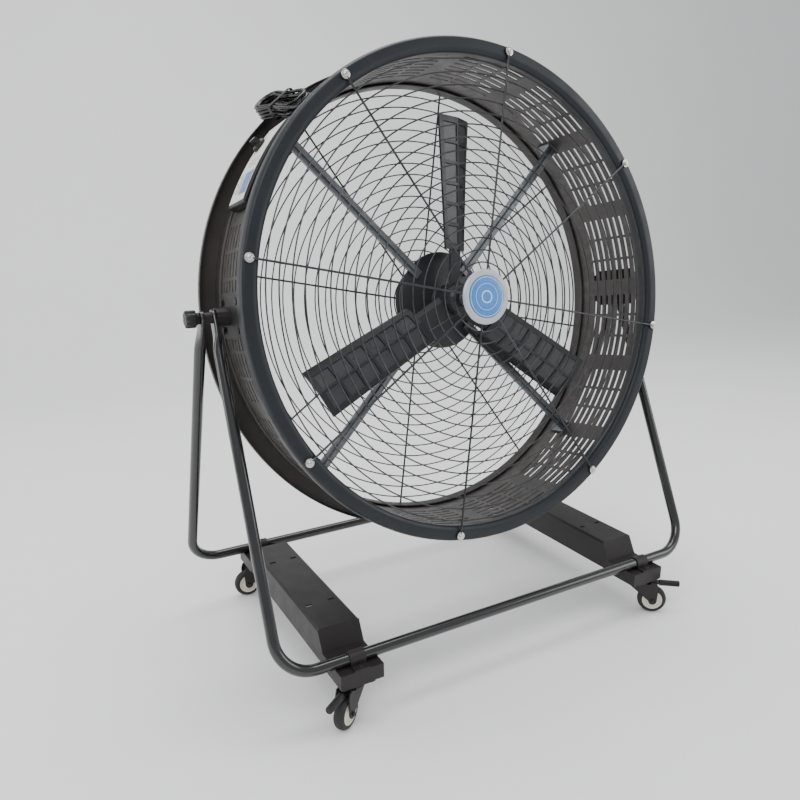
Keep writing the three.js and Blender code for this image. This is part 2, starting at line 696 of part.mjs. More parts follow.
// Moulded rim: bolt face at y = 0, rolled edge, outer skirt and an inner lip inside the shell.
function drumRing(outerRadius) {
  const lipOuter = SHELL_FLAT_RADIUS - GAP;
  const lipInner = lipOuter - RING_WALL;
  return revolve([
    [outerRadius, RING_SKIRT], [outerRadius, RING_ROLL],
    [BOLT_CIRCLE_RADIUS + BOLT_FACE_OUTER, 0], [BOLT_CIRCLE_RADIUS - BOLT_FACE_INNER, 0],
    [OPENING_RADIUS, RING_LEAD], [lipInner, RING_LIP], [lipOuter, RING_LIP], [lipOuter, RING_SEAT],
    [outerRadius - RING_WALL, RING_SEAT], [outerRadius - RING_WALL, RING_SKIRT],
  ], DRUM_SIDES);
}

// Flat guard: concentric rings behind eight spokes that end in eyelets under washers and bolts.
function grille(ringCount) {
  const spokeAt = -GAP - SPOKE_WIDTH / 2;
  const plateRadius = BADGE_RADIUS - HUB_PLATE_INSET;
  const pieces = [disc(plateRadius, HUB_PLATE_THICKNESS, new THREE.Vector3(0, spokeAt, 0), 16)];
  const pitch = (GRILLE_OUTER_RING - GRILLE_INNER_RING) / (ringCount - 1);
  for (let i = 0; i < ringCount; i += 1) {
    pieces.push(wireRing(GRILLE_INNER_RING + i * pitch, spokeAt));
  }
  const spokeStart = plateRadius - SPOKE_OVERLAP;
  const spokeLength = BOLT_CIRCLE_RADIUS - spokeStart;
  for (let i = 0; i < BOLT_COUNT; i += 1) {
    const angle = BOLT_START + (i * 360) / BOLT_COUNT;
    const spoke = box(spokeLength, SPOKE_WIDTH, SPOKE_WIDTH, spokeStart + spokeLength / 2, spokeAt, 0);
    pieces.push(turned(spoke, angle));
    pieces.push(ringBolt(angle));
  }
  return join(...pieces);
}

// One ring of the guard, sunk a little into the backs of the spokes where it is welded.
function wireRing(radius, spokeAt) {
  const spokeBack = spokeAt + SPOKE_WIDTH / 2;
  const half = WIRE_WIDTH / 2;
  return revolve([
    [radius - half, spokeBack + half], [radius, spokeBack - WELD_DEPTH], [radius + half, spokeBack + half],
  ], WIRE_SIDES);
}

function disc(radius, thickness, centre, sides = 8) {
  const plate = new THREE.CylinderGeometry(radius, radius, thickness, sides);
  return plate.translate(centre.x, centre.y, centre.z);
}

// Eyelet, washer and low domed head, stacked on the bolt face.
function ringBolt(angle) {
  const washerFace = -GAP - EYELET_THICKNESS - WASHER_THICKNESS;
  const stack = revolve([
    [0, -GAP], [EYELET_RADIUS, -GAP], [WASHER_RADIUS, washerFace], [BOLT_RADIUS, washerFace],
    [BOLT_RADIUS * 0.55, washerFace - BOLT_HEAD_HEIGHT], [0, washerFace - BOLT_HEAD_HEIGHT],
  ], 6);
  const at = onDrum(BOLT_CIRCLE_RADIUS, angle, 0);
  return stack.translate(at.x, at.y, at.z);
}

function addRingsAndGrilles() {
  piece("drum_shell", drumShell(), shellPlastic(), drumParts);
  piece("front_ring", drumRing(FRONT_RING_RADIUS), drumPlastic(), drumParts);
  piece("front_grille", grille(FRONT_GRILLE_RINGS), zincWire(), drumParts);
  const rear = new THREE.Group();
  rear.position.y = DRUM_DEPTH;
  rear.rotation.x = Math.PI;
  drumParts.add(rear);
  piece("rear_ring", drumRing(REAR_RING_RADIUS), drumPlastic(), rear);
  const guard = piece("rear_grille", grille(REAR_GRILLE_RINGS), zincWire(), rear);
  guard.rotation.y = radians(2 * BOLT_START);
}

// Bare round badge on the middle of the front grille.
function addBadge() {
  const back = -SPOKE_WIDTH - 2 * GAP;
  const front = back - BADGE_THICKNESS;
  const well = front + 1.5;
  piece("badge_plate", revolve([
    [0, back], [BADGE_RADIUS, back], [BADGE_RADIUS, front + 2], [BADGE_RADIUS - 3, front],
    [BADGE_DISC_RADIUS + GAP, front], [BADGE_DISC_RADIUS + GAP, well], [0, well],
  ], BADGE_SIDES), badgeGrey(), drumParts);
  piece("badge_disc", revolve([
    [0, well - GAP], [BADGE_DISC_RADIUS, well - GAP], [BADGE_DISC_RADIUS, front - 0.5], [0, front - 1.5],
  ], BADGE_SIDES), badgeBlue(), drumParts);
}

// ---------------------------------------------------------------- motor and its struts

function motorStrut(angle) {
  const wallReach = SHELL_RADIUS;
  const innerEnd = HUB_RADIUS + 52;
  const length = wallReach - innerEnd;
  const arm = box(length, STRUT_THICKNESS, STRUT_WIDTH, innerEnd + length / 2, STRUT_DEPTH, 0);
  const foot = box(12, STRUT_FOOT_LENGTH, STRUT_WIDTH + 14,
    SHELL_INNER_RADIUS - 3, STRUT_DEPTH + STRUT_FOOT_LENGTH / 2 - STRUT_THICKNESS / 2, 0);
  const rib = box(length - 30, 6, 5, innerEnd + length / 2, STRUT_DEPTH - STRUT_THICKNESS / 2 - 2, 0);
  const whole = turned(join(arm, foot, rib), angle);
  const inside = new THREE.CylinderGeometry(
    SHELL_INNER_RADIUS - GAP, SHELL_INNER_RADIUS - GAP, 4 * STRUT_FOOT_LENGTH, SHELL_SIDES);
  return overlapOf(whole, inside.translate(0, STRUT_DEPTH, 0));
}

// Flanged motor with cooling ribs and a domed rear end bell.
function motorHousing() {
  const front = STRUT_DEPTH + STRUT_THICKNESS / 2 + GAP;
  const ribs = [];
  const ribCount = 2;
  const bodyStart = front + 16;
  const ribPitch = (MOTOR_LENGTH - 40) / ribCount;
  for (let i = 0; i < ribCount; i += 1) {
    const at = bodyStart + i * ribPitch;
    ribs.push([MOTOR_RADIUS - 6, at], [MOTOR_RADIUS, at + 2], [MOTOR_RADIUS, at + ribPitch - 5]);
    ribs.push([MOTOR_RADIUS - 6, at + ribPitch - 3]);
  }
  const boss = front - 14;
  return revolve([
    [0, boss], [SHAFT_RADIUS + 12, boss], [SHAFT_RADIUS + 20, front], [MOTOR_FLANGE_RADIUS, front],
    [MOTOR_FLANGE_RADIUS, front + 6], [MOTOR_RADIUS - 12, front + 8], ...ribs,
    [MOTOR_RADIUS - 22, front + MOTOR_LENGTH - 8], [MOTOR_RADIUS - 46, front + MOTOR_LENGTH],
    [0, front + MOTOR_LENGTH],
  ], 14);
}

function addMotor() {
  const names = ["upper_right", "upper_left", "lower_left", "lower_right"];
  names.forEach((name, index) => {
    piece(`motor_strut_${name}`, motorStrut(45 + 90 * index), galvanised(), drumParts);
  });
  piece("motor_housing", motorHousing(), motorPaint(), drumParts);
}

// ---------------------------------------------------------------- rotor

// Folded plate section of a blade or arm at one radius, drawn at the +X side of the drum.
function bladeSection(radius, chord, thickness, lift) {
  const along = (radius - BLADE_ROOT_RADIUS) / (BLADE_TIP_RADIUS - BLADE_ROOT_RADIUS);
  const pitch = radians(THREE.MathUtils.lerp(BLADE_ROOT_PITCH, BLADE_TIP_PITCH, along));
  const ridgeAt = -0.1 * BLADE_CHORD;
  const half = chord / 2;
  const slopeLead = (BLADE_RIDGE + 3) / (BLADE_CHORD / 2 + ridgeAt);
  const slopeTrail = (BLADE_RIDGE + 3) / (BLADE_CHORD / 2 - ridgeAt);
  const height = (c) => BLADE_RIDGE - Math.max((ridgeAt - c) * slopeLead, (c - ridgeAt) * slopeTrail);
  const outline = [
    [-half, height(-half)], [ridgeAt, height(ridgeAt)], [half, height(half)],
    [half, height(half) - thickness], [ridgeAt, height(ridgeAt) - thickness],
    [-half, height(-half) - thickness],
  ];
  return outline.map(([chordwise, up]) => {
    const normal = up + lift;
    const tangential = chordwise * Math.cos(pitch) - normal * Math.sin(pitch);
    const axial = -chordwise * Math.sin(pitch) - normal * Math.cos(pitch);
    return new THREE.Vector3(radius, BLADE_DEPTH + axial, tangential);
  });
}

function fanBlade(angle) {
  const rings = [];
  for (let i = 0; i < BLADE_STATIONS; i += 1) {
    const share = i / (BLADE_STATIONS - 1);
    const radius = THREE.MathUtils.lerp(BLADE_ROOT_RADIUS, BLADE_TIP_RADIUS, share);
    rings.push(bladeSection(radius, BLADE_CHORD * (0.88 + 0.12 * share), BLADE_THICKNESS, 0));
  }
  return turned(cut(loft(rings), ...bladePockets()), angle);
}

// Two columns of square pockets in the wide facet of the blade's front face.
function bladePockets() {
  const pockets = [];
  const reach = BLADE_TIP_RADIUS - BLADE_ROOT_RADIUS;
  const rowPitch = (reach - 24) / POCKET_ROWS;
  for (let row = 0; row < POCKET_ROWS; row += 1) {
    const radius = BLADE_ROOT_RADIUS + 12 + (row + 0.5) * rowPitch;
    const [, ridge, trailing] = bladeSection(radius, BLADE_CHORD, BLADE_THICKNESS, 0);
    const across = new THREE.Vector3().subVectors(trailing, ridge);
    const facetWidth = across.length();
    across.normalize();
    const side = facetWidth * 0.34;
    const outward = new THREE.Vector3(1, 0, 0);
    const normal = new THREE.Vector3().crossVectors(across, outward).normalize();
    for (const share of [0.28, 0.7]) {
      const pocket = new THREE.BoxGeometry(rowPitch - 8, side, 2 * POCKET_DEPTH);
      const frame = new THREE.Matrix4().makeBasis(outward, across, normal);
      const centre = ridge.clone().addScaledVector(across, share * facetWidth);
      pockets.push(pocket.applyMatrix4(frame).translate(centre.x, centre.y, centre.z));
    }
  }
  return pockets;
}

// Cast hub with three tapered arms that lie against the backs of the blade roots.
function fanHub() {
  const front = BLADE_DEPTH - HUB_LENGTH / 2;
  const rear = BLADE_DEPTH + HUB_LENGTH / 2;
  const boss = revolve([
    [SHAFT_RADIUS + GAP, front], [HUB_RADIUS - 12, front], [HUB_RADIUS - 4, front + 6],
    [HUB_RADIUS, front + 14], [HUB_RADIUS, rear], [SHAFT_RADIUS + GAP, rear],
  ], 14);
  const arms = [];
  for (let i = 0; i < BLADE_COUNT; i += 1) {
    const rings = [];
    for (let step = 0; step < 4; step += 1) {
      const share = step / 3;
      const radius = THREE.MathUtils.lerp(HUB_RADIUS * 0.72, ARM_REACH, share);
      const chord = THREE.MathUtils.lerp(62, 44, share);
      rings.push(bladeSection(radius, chord, ARM_THICKNESS, -BLADE_THICKNESS - GAP));
    }
    arms.push(turned(loft(rings), BLADE_FIRST_ANGLE + (i * 360) / BLADE_COUNT));
  }
  return join(boss, ...arms);
}

function rotorShaft() {
  const front = BLADE_DEPTH - HUB_LENGTH / 2 - 16;
  const rear = STRUT_DEPTH + STRUT_THICKNESS / 2 - 14;
  const nutFace = BLADE_DEPTH - HUB_LENGTH / 2 - GAP;
  return revolve([
    [0, front], [SHAFT_RADIUS - 2, front], [SHAFT_RADIUS - 2, nutFace - 9], [SHAFT_RADIUS + 7, nutFace - 9],
    [SHAFT_RADIUS + 7, nutFace], [SHAFT_RADIUS, nutFace], [SHAFT_RADIUS, rear], [0, rear],
  ], 12);
}

function addRotor() {
  piece("fan_hub", fanHub(), motorPaint(), drumParts);
  piece("rotor_shaft", rotorShaft(), galvanised(), drumParts);
  for (let i = 0; i < BLADE_COUNT; i += 1) {
    const angle = BLADE_FIRST_ANGLE + (i * 360) / BLADE_COUNT;
    piece(`fan_blade_${i + 1}`, fanBlade(angle), bladePlastic(), drumParts);
  }
}

// ---------------------------------------------------------------- pivot brackets and knobs

// Plate on the drum wall with a boss and the stud that passes through both tube ends.
function pivotBracket() {
  const plateInner = SHELL_RADIUS + GAP;
  const plateOuter = plateInner + BRACKET_THICKNESS;
  const bossEnd = FRONT_TUBE_HALF_WIDTH - TAB_THICKNESS / 2 - GAP;
  const halfHeight = BRACKET_HEIGHT / 2;
  const rear = FRONT_TO_PIVOT + 48;
  const front = rear - BRACKET_LENGTH;
  const nib = 14;
  const outline = [
    [front, -halfHeight + nib], [front + nib, -halfHeight],
    [rear - nib, -halfHeight], [rear, -halfHeight + nib],
    [rear, halfHeight - nib], [rear - nib, halfHeight],
    [front + nib, halfHeight], [front, halfHeight - nib],
  ];
  const plate = plateAcrossX(outline, BRACKET_THICKNESS, plateInner + BRACKET_THICKNESS / 2);
  const axis = (x) => new THREE.Vector3(x, FRONT_TO_PIVOT, 0);
  const boss = bar(axis(plateOuter - 1), axis(bossEnd), PIVOT_BOSS_RADIUS, 12);
  const studEnd = REAR_TUBE_HALF_WIDTH + TAB_THICKNESS / 2 + KNOB_LENGTH * 0.6;
  const stud = bar(axis(plateOuter - 1), axis(studEnd), PIVOT_STUD_RADIUS, 8);
  const bolts = [];
  for (const y of [front + 20, rear - 20]) {
    for (const z of [-30, 30]) {
      const head = new THREE.CylinderGeometry(8, 8, 7, 6).rotateZ(Math.PI / 2);
      bolts.push(head.translate(plateOuter + 2.5, y, z));
    }
  }
  return join(plate, boss, stud, ...bolts);
}

// Grooved clamp knob on the end of the pivot stud.
function tiltKnob() {
  const inner = REAR_TUBE_HALF_WIDTH + TAB_THICKNESS / 2 + GAP;
  const outer = inner + KNOB_LENGTH;
  const boreEnd = inner + KNOB_LENGTH * 0.6 + 2;
  const bore = PIVOT_STUD_RADIUS + GAP;
  const body = revolve([
    [bore, inner], [KNOB_RADIUS - 7, inner], [KNOB_RADIUS - 6, inner + 5], [KNOB_RADIUS, inner + 8],
    [KNOB_RADIUS, outer - 3], [KNOB_RADIUS - 3, outer], [0, outer], [0, boreEnd], [bore, boreEnd],
  ], 12).rotateZ(-Math.PI / 2);
  const grooves = [];
  const grooveCount = 6;
  for (let i = 0; i < grooveCount; i += 1) {
    const angle = (2 * Math.PI * (i + 0.5)) / grooveCount;
    const at = KNOB_RADIUS + 1.5;
    const groove = box(KNOB_LENGTH, 4, 4, inner + 8 + KNOB_LENGTH / 2, 0, at);
    grooves.push(groove.rotateX(angle));
  }
  return cut(body, ...grooves);
}

function addPivots() {
  const mirrored = new THREE.Matrix4().makeScale(-1, 1, 1);
  for (const [word, side] of [["left", -1], ["right", 1]]) {
    const bracket = pivotBracket();
    const knob = tiltKnob();
    if (side < 0) {
      bracket.applyMatrix4(mirrored);
      knob.applyMatrix4(mirrored);
    }
    piece(`${word}_pivot_bracket`, bracket, satinSteel(), drumParts);
    piece(`${word}_tilt_knob`, knob, knobPlastic(), drum);
  }
}

// ---------------------------------------------------------------- control box and cord

// A curved block that follows the drum wall between two angles.
function wallBlock(innerRadius, outerRadius, front, rear, startAngle, endAngle) {
  const ring = revolve([
    [innerRadius, front], [outerRadius, front], [outerRadius, rear], [innerRadius, rear],
  ], SHELL_SIDES * 2);
  const reach = outerRadius * 1.2;
  const wedge = new THREE.Shape();
  wedge.moveTo(0, 0);
  wedge.lineTo(reach * Math.cos(radians(startAngle)), reach * Math.sin(radians(startAngle)));
  wedge.lineTo(reach * Math.cos(radians(endAngle)), reach * Math.sin(radians(endAngle)));
  const prism = new THREE.ExtrudeGeometry(wedge, { depth: 2 * rear, bevelEnabled: false });
  prism.rotateX(Math.PI / 2).translate(0, 1.5 * rear, 0);
  return overlapOf(ring, prism);
}

function addControls() {
  const base = SHELL_RADIUS + GAP;
  const top = base + BOX_HEIGHT;
  const housing = wallBlock(base, top, BOX_FRONT, BOX_REAR, BOX_START, BOX_END);
  piece("control_box", housing, knobPlastic(), drumParts);
  const marginAngle = THREE.MathUtils.radToDeg(PANEL_MARGIN / top);
  const plateBase = top + GAP;
  const plate = wallBlock(plateBase, plateBase + PANEL_THICKNESS,
    BOX_FRONT + PANEL_MARGIN, BOX_REAR - PANEL_MARGIN, BOX_START + marginAngle, BOX_END - marginAngle);
  piece("control_panel_plate", plate, panelWhite(), drumParts);
  const knob = revolve([
    [0, 0], [SWITCH_RADIUS, 0], [SWITCH_RADIUS, 5], [SWITCH_RADIUS - 3, 8],
    [SWITCH_RADIUS - 4, SWITCH_HEIGHT], [0, SWITCH_HEIGHT],
  ], 20).rotateZ(-Math.PI / 2);
  const seat = top + PANEL_THICKNESS + 2 * GAP;
  knob.translate(seat, SWITCH_DEPTH, 0);
  piece("speed_switch_knob", turned(knob, SWITCH_ANGLE), knobPlastic(), drumParts);
}

// The hank lies on one flat facet of the wall and over the edge of the rear ring.
const CORD_RADIUS = CORD_DIAMETER / 2;
const WALL_FLAT = SHELL_RADIUS * Math.cos(Math.PI / SHELL_SIDES);
const WALL_OUTWARD = onDrum(1, HANK_ANGLE, 0);
const WALL_UPWARD = onDrum(1, HANK_ANGLE - 90, 0);
const RING_EDGE_DEPTH = DRUM_DEPTH - RING_SKIRT;
const HANK_SLOPE = Math.atan2(REAR_RING_RADIUS - WALL_FLAT, RING_EDGE_DEPTH - HANK_FRONT);
const HANK_OUTER_FOLD = HANK_FOLD_RADIUS + HANK_TURNS_PER_LAYER * HANK_STEP;
const HANK_MIDDLE = CORD_RADIUS + HANK_OUTER_FOLD + HANK_HALF_RUN;

// A place over that facet: depth in the drum, way round toward the top, height above the wall.
function overWall(depth, across, height) {
  const point = WALL_OUTWARD.clone().multiplyScalar(WALL_FLAT + height);
  point.y = depth;
  return point.addScaledVector(WALL_UPWARD, across);
}

// A place in the hank: along it from its middle, across it toward the top, up from what it lies on.
function onHank(along, across, up) {
  const reach = HANK_MIDDLE + along;
  const depth = HANK_FRONT + reach * Math.cos(HANK_SLOPE) - up * Math.sin(HANK_SLOPE);
  return overWall(depth, across, 2 * GAP + reach * Math.sin(HANK_SLOPE) + up * Math.cos(HANK_SLOPE));
}

// Centre line of the hank after some number of turns. Layers wind in and out again by turns, and the
// cord climbs to the next layer along the run where the winding turns round.
function hankPoint(turns) {
  const layer = Math.min(Math.floor(turns / HANK_TURNS_PER_LAYER), HANK_LAYERS - 1);
  const past = turns - layer * HANK_TURNS_PER_LAYER;
  const moved = layer === 0 ? past : Math.min(past, Math.max(0, 2 * past - 0.5));
  const inset = layer % 2 === 0 ? HANK_TURNS_PER_LAYER - moved : moved;
  const level = layer === 0 ? 0 : layer - 1 + Math.min(4 * past, 1);
  const fold = HANK_FOLD_RADIUS + inset * HANK_STEP;
  const quarter = Math.floor(4 * turns) % 4;
  const share = 4 * turns - Math.floor(4 * turns);
  const way = quarter < 2 ? 1 : -1;
  let along = way * HANK_HALF_RUN;
  let across = way * fold;
  if (quarter % 2 === 0) {
    along *= 2 * share - 1;
    across -= way * HANK_WAIST_DRAW * Math.sin(Math.PI * share) ** 2;
  } else {
    along += way * fold * Math.sin(Math.PI * share);
    across *= Math.cos(Math.PI * share);
  }
  return onHank(along, across, CORD_RADIUS + level * HANK_STEP);
}

// The whole hank: it starts and ends with one straight diameter in line with its runs.
function hankRoute() {
  const turns = HANK_LAYERS * HANK_TURNS_PER_LAYER - 0.25;
  const count = turns * LOOP_STEPS;
  const runDirection = onHank(1, 0, 0).sub(onHank(0, 0, 0)).normalize();
  const start = hankPoint(0);
  const points = [start.clone().addScaledVector(runDirection, -CORD_DIAMETER)];
  for (let i = 0; i < count; i += 1) points.push(hankPoint((turns * i) / count));
  const end = hankPoint(turns - 1e-9);
  points.push(end, end.clone().addScaledVector(runDirection, -CORD_DIAMETER));
  return points;
}

// Least clear distance of a route to itself, between stretches more than a third of a loop apart.
function clearanceToItself(route) {
  const apart = Math.round(LOOP_STEPS / 3);
  const stretch = new THREE.Line3();
  const nearest = new THREE.Vector3();
  let least = Infinity;
  for (let i = 0; i < route.length; i += 1) {
    for (let j = i + apart; j < route.length - 1; j += 1) {
      stretch.set(route[j], route[j + 1]).closestPointToPoint(route[i], true, nearest);
      least = Math.min(least, nearest.distanceTo(route[i]));
    }
  }
  return least - CORD_DIAMETER;
}

function routeLength(route) {
  return route.slice(1).reduce((total, point, i) => total + point.distanceTo(route[i]), 0);
}

// Where the cord leaves the end of the control box, and the way it points there.
function cordExit() {
  const exit = onDrum(SHELL_RADIUS + BOX_HEIGHT / 2 + GAP, BOX_START, CORD_EXIT_DEPTH);
  const direction = onDrum(1, BOX_START - 90, 0);
  return [exit.addScaledVector(direction, GAP), direction];
}

// The lead runs along the wall in front of the hank and turns into its outermost loop.
function leadRoute(hankStart) {
  const [exit, direction] = cordExit();
  const start = exit.clone().addScaledVector(direction, GLAND_LENGTH + GAP);
  return [
    start, start.clone().addScaledVector(direction, CORD_DIAMETER),
    overWall(90, -17, 9), overWall(90.5, -5, 5.8), overWall(92.5, 7, 4.4), overWall(97, 18, 4.3),
    overWall(104, 27, 5), overWall(113, 33.5, 7.2), overWall(123.5, 36.8, 10), hankStart,
  ];
}

// The tail comes off the top layer, passes over the lead and turns to where the plug lies.
function tailRoute(hankEnd) {
  return [
    hankEnd, overWall(108, -35.5, 30), overWall(95, -34.5, 25.5), overWall(83, -31.5, 21),
    overWall(73, -25.5, 17), overWall(66, -17, 14.2), overWall(62.5, -7, 12.5),
    overWall(61.5, 3, PLUG_RADIUS + 2 * GAP), overWall(61.5, 10, PLUG_RADIUS + 2 * GAP),
  ];
}

// Moulded plug with two flat blades and a round earth pin, drawn pointing along +Y.
function mainsPlug() {
  const body = revolve([
    [0, 0], [CORD_RADIUS + 2, 0], [CORD_RADIUS + 3, 10], [PLUG_RADIUS, 15],
    [PLUG_RADIUS, PLUG_LENGTH], [0, PLUG_LENGTH],
  ], 10);
  const pinMiddle = PLUG_LENGTH + BLADE_PIN_LENGTH / 2 - 1;
  const blades = [-1, 1].map((way) => box(1.6, BLADE_PIN_LENGTH + 2, 6, way * 5.5, pinMiddle, -3));
  const earth = new THREE.CylinderGeometry(2.3, 2.3, BLADE_PIN_LENGTH + 4, 8).translate(0, pinMiddle + 1, 6);
  return join(body, ...blades, earth);
}

// Flat band round the waist of the hank.
function hankTie() {
  const play = 0.5;
  const side = HANK_OUTER_FOLD - HANK_WAIST_DRAW + CORD_RADIUS + play;
  const top = (HANK_LAYERS - 1) * HANK_STEP + CORD_DIAMETER + play;
  const band = new THREE.Shape();
  const outline = (target, grow, corner) => {
    target.moveTo(-side - grow + corner, -play - grow);
    target.lineTo(side + grow - corner, -play - grow);
    target.lineTo(side + grow, -play - grow + corner);
    target.lineTo(side + grow, top + grow - corner);
    target.lineTo(side + grow - corner, top + grow);
    target.lineTo(-side - grow + corner, top + grow);
    target.lineTo(-side - grow, top + grow - corner);
    target.lineTo(-side - grow, -play - grow + corner);
    return target;
  };
  outline(band, TIE_THICKNESS, 2.2);
  band.holes.push(outline(new THREE.Path(), 0, 1.4));
  const tie = new THREE.ExtrudeGeometry(band, { depth: TIE_WIDTH, bevelEnabled: false });
  tie.translate(0, 0, -TIE_WIDTH / 2);
  const origin = onHank(0, 0, 0);
  const frame = new THREE.Matrix4().makeBasis(
    onHank(0, 1, 0).sub(origin), onHank(0, 0, 1).sub(origin), onHank(1, 0, 0).sub(origin));
  return tie.applyMatrix4(frame.setPosition(origin));
}

// A piece drawn pointing along +Y, laid at a place and pointed along a direction.
function pointed(geometry, place, direction) {
  geometry.applyQuaternion(new THREE.Quaternion().setFromUnitVectors(new THREE.Vector3(0, 1, 0), direction));
  return geometry.translate(place.x, place.y, place.z);
}

function addCord() {
  const [exit, direction] = cordExit();
  const gland = revolve([
    [0, 0], [GLAND_RADIUS, 0], [GLAND_RADIUS, 5], [CORD_RADIUS + 2.5, 7],
    [CORD_RADIUS + 1, GLAND_LENGTH], [0, GLAND_LENGTH],
  ], 10);
  piece("cord_gland", pointed(gland, exit, direction), knobPlastic(), drumParts);

  const hank = hankRoute();
  const last = hank.length - 1;
  const beyond = (end, before) => end.clone().sub(before).setLength(GAP).add(end);
  const lead = leadRoute(beyond(hank[0], hank[1]));
  const tail = tailRoute(beyond(hank[last], hank[last - 1]));
  const tube = (route, sides) => sweep(route, CORD_RADIUS, sides);
  piece("power_cord_lead", tube(lead, 8), cordRubber(), drumParts);
  piece("power_cord_hank", tube(hank, LOOP_SIDES), cordRubber(), drumParts);
  piece("power_cord_tail", tube(tail, 8), cordRubber(), drumParts);
  const plugAt = tail[tail.length - 1].clone().addScaledVector(WALL_UPWARD, GAP);
  piece("power_plug", pointed(mainsPlug(), plugAt, WALL_UPWARD), knobPlastic(), drumParts);
  piece("cord_tie", hankTie(), knobPlastic(), drumParts);
  console.log(`hank: least gap to itself ${clearanceToItself(hank).toFixed(2)} mm, cord lengths in mm: ` +
    [lead, hank, tail].map((route) => routeLength(route).toFixed(0)).join(", "));
}

addStand();
CASTERS.forEach(addCaster);
addRingsAndGrilles();
addBadge();
addMotor();
addRotor();
addPivots();
addControls();
addCord();

export default fan;
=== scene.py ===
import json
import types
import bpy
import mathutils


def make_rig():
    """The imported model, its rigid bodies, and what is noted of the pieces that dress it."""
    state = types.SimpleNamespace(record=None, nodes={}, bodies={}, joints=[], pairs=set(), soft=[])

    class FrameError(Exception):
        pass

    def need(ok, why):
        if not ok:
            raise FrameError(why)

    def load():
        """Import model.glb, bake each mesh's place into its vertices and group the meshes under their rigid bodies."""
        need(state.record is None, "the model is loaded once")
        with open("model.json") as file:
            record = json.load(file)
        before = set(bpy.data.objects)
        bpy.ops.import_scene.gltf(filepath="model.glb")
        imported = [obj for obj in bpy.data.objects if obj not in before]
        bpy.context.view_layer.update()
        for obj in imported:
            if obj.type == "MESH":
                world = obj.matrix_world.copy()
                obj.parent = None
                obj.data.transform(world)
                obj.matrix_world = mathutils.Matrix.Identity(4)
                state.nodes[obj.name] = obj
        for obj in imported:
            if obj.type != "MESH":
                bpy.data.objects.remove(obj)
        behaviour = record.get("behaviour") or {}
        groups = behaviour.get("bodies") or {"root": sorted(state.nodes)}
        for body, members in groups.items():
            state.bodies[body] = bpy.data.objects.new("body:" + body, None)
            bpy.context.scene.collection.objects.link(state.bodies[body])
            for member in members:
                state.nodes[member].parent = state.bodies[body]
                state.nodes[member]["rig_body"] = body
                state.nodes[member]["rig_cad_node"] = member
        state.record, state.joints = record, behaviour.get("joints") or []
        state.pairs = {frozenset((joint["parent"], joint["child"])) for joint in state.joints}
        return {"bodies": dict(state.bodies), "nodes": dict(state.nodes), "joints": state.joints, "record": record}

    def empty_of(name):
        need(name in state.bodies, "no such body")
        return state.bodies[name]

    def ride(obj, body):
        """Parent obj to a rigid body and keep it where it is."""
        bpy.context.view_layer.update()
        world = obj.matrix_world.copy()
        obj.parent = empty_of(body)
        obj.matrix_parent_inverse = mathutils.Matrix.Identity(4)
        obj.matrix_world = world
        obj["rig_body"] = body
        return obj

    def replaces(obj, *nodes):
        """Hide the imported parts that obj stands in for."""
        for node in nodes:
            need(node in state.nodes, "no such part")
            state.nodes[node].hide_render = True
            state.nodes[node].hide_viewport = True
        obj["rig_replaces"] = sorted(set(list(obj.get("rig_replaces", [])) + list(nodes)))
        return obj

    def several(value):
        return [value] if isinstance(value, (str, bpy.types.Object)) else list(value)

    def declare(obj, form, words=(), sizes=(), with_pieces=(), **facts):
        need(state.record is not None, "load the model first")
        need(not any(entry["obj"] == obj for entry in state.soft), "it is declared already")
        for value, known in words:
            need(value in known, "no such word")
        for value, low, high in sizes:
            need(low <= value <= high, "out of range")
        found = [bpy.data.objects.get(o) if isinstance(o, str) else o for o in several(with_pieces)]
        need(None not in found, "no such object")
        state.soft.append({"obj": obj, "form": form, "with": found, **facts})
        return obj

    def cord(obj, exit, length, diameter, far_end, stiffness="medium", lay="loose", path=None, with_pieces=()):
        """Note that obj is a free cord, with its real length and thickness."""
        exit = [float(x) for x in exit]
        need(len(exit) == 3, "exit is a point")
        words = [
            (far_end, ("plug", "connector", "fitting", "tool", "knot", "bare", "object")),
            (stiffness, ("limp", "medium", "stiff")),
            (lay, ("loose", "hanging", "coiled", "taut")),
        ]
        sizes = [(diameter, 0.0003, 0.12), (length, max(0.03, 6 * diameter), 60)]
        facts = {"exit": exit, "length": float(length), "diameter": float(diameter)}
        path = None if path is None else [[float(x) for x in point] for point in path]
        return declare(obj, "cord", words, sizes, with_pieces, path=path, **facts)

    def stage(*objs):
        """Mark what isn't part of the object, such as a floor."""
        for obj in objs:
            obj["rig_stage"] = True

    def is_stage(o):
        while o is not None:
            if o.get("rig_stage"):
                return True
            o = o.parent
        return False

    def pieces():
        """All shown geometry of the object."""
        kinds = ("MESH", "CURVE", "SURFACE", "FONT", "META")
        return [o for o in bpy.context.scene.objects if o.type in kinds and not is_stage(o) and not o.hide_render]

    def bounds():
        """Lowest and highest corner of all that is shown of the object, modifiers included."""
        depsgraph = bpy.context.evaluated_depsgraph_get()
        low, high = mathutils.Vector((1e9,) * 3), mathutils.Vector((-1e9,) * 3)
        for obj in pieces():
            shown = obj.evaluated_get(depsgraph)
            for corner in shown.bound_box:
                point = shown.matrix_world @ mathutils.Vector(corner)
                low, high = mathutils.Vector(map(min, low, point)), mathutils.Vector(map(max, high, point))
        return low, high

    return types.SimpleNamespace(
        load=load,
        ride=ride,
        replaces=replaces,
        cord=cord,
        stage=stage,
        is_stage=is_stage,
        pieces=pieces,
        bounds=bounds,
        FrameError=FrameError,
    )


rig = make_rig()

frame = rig.load()

import json
import math

import bmesh
import bpy
from mathutils import Matrix, Vector

CAD_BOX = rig.bounds()

# ---- sizes, in metres, as in the frame

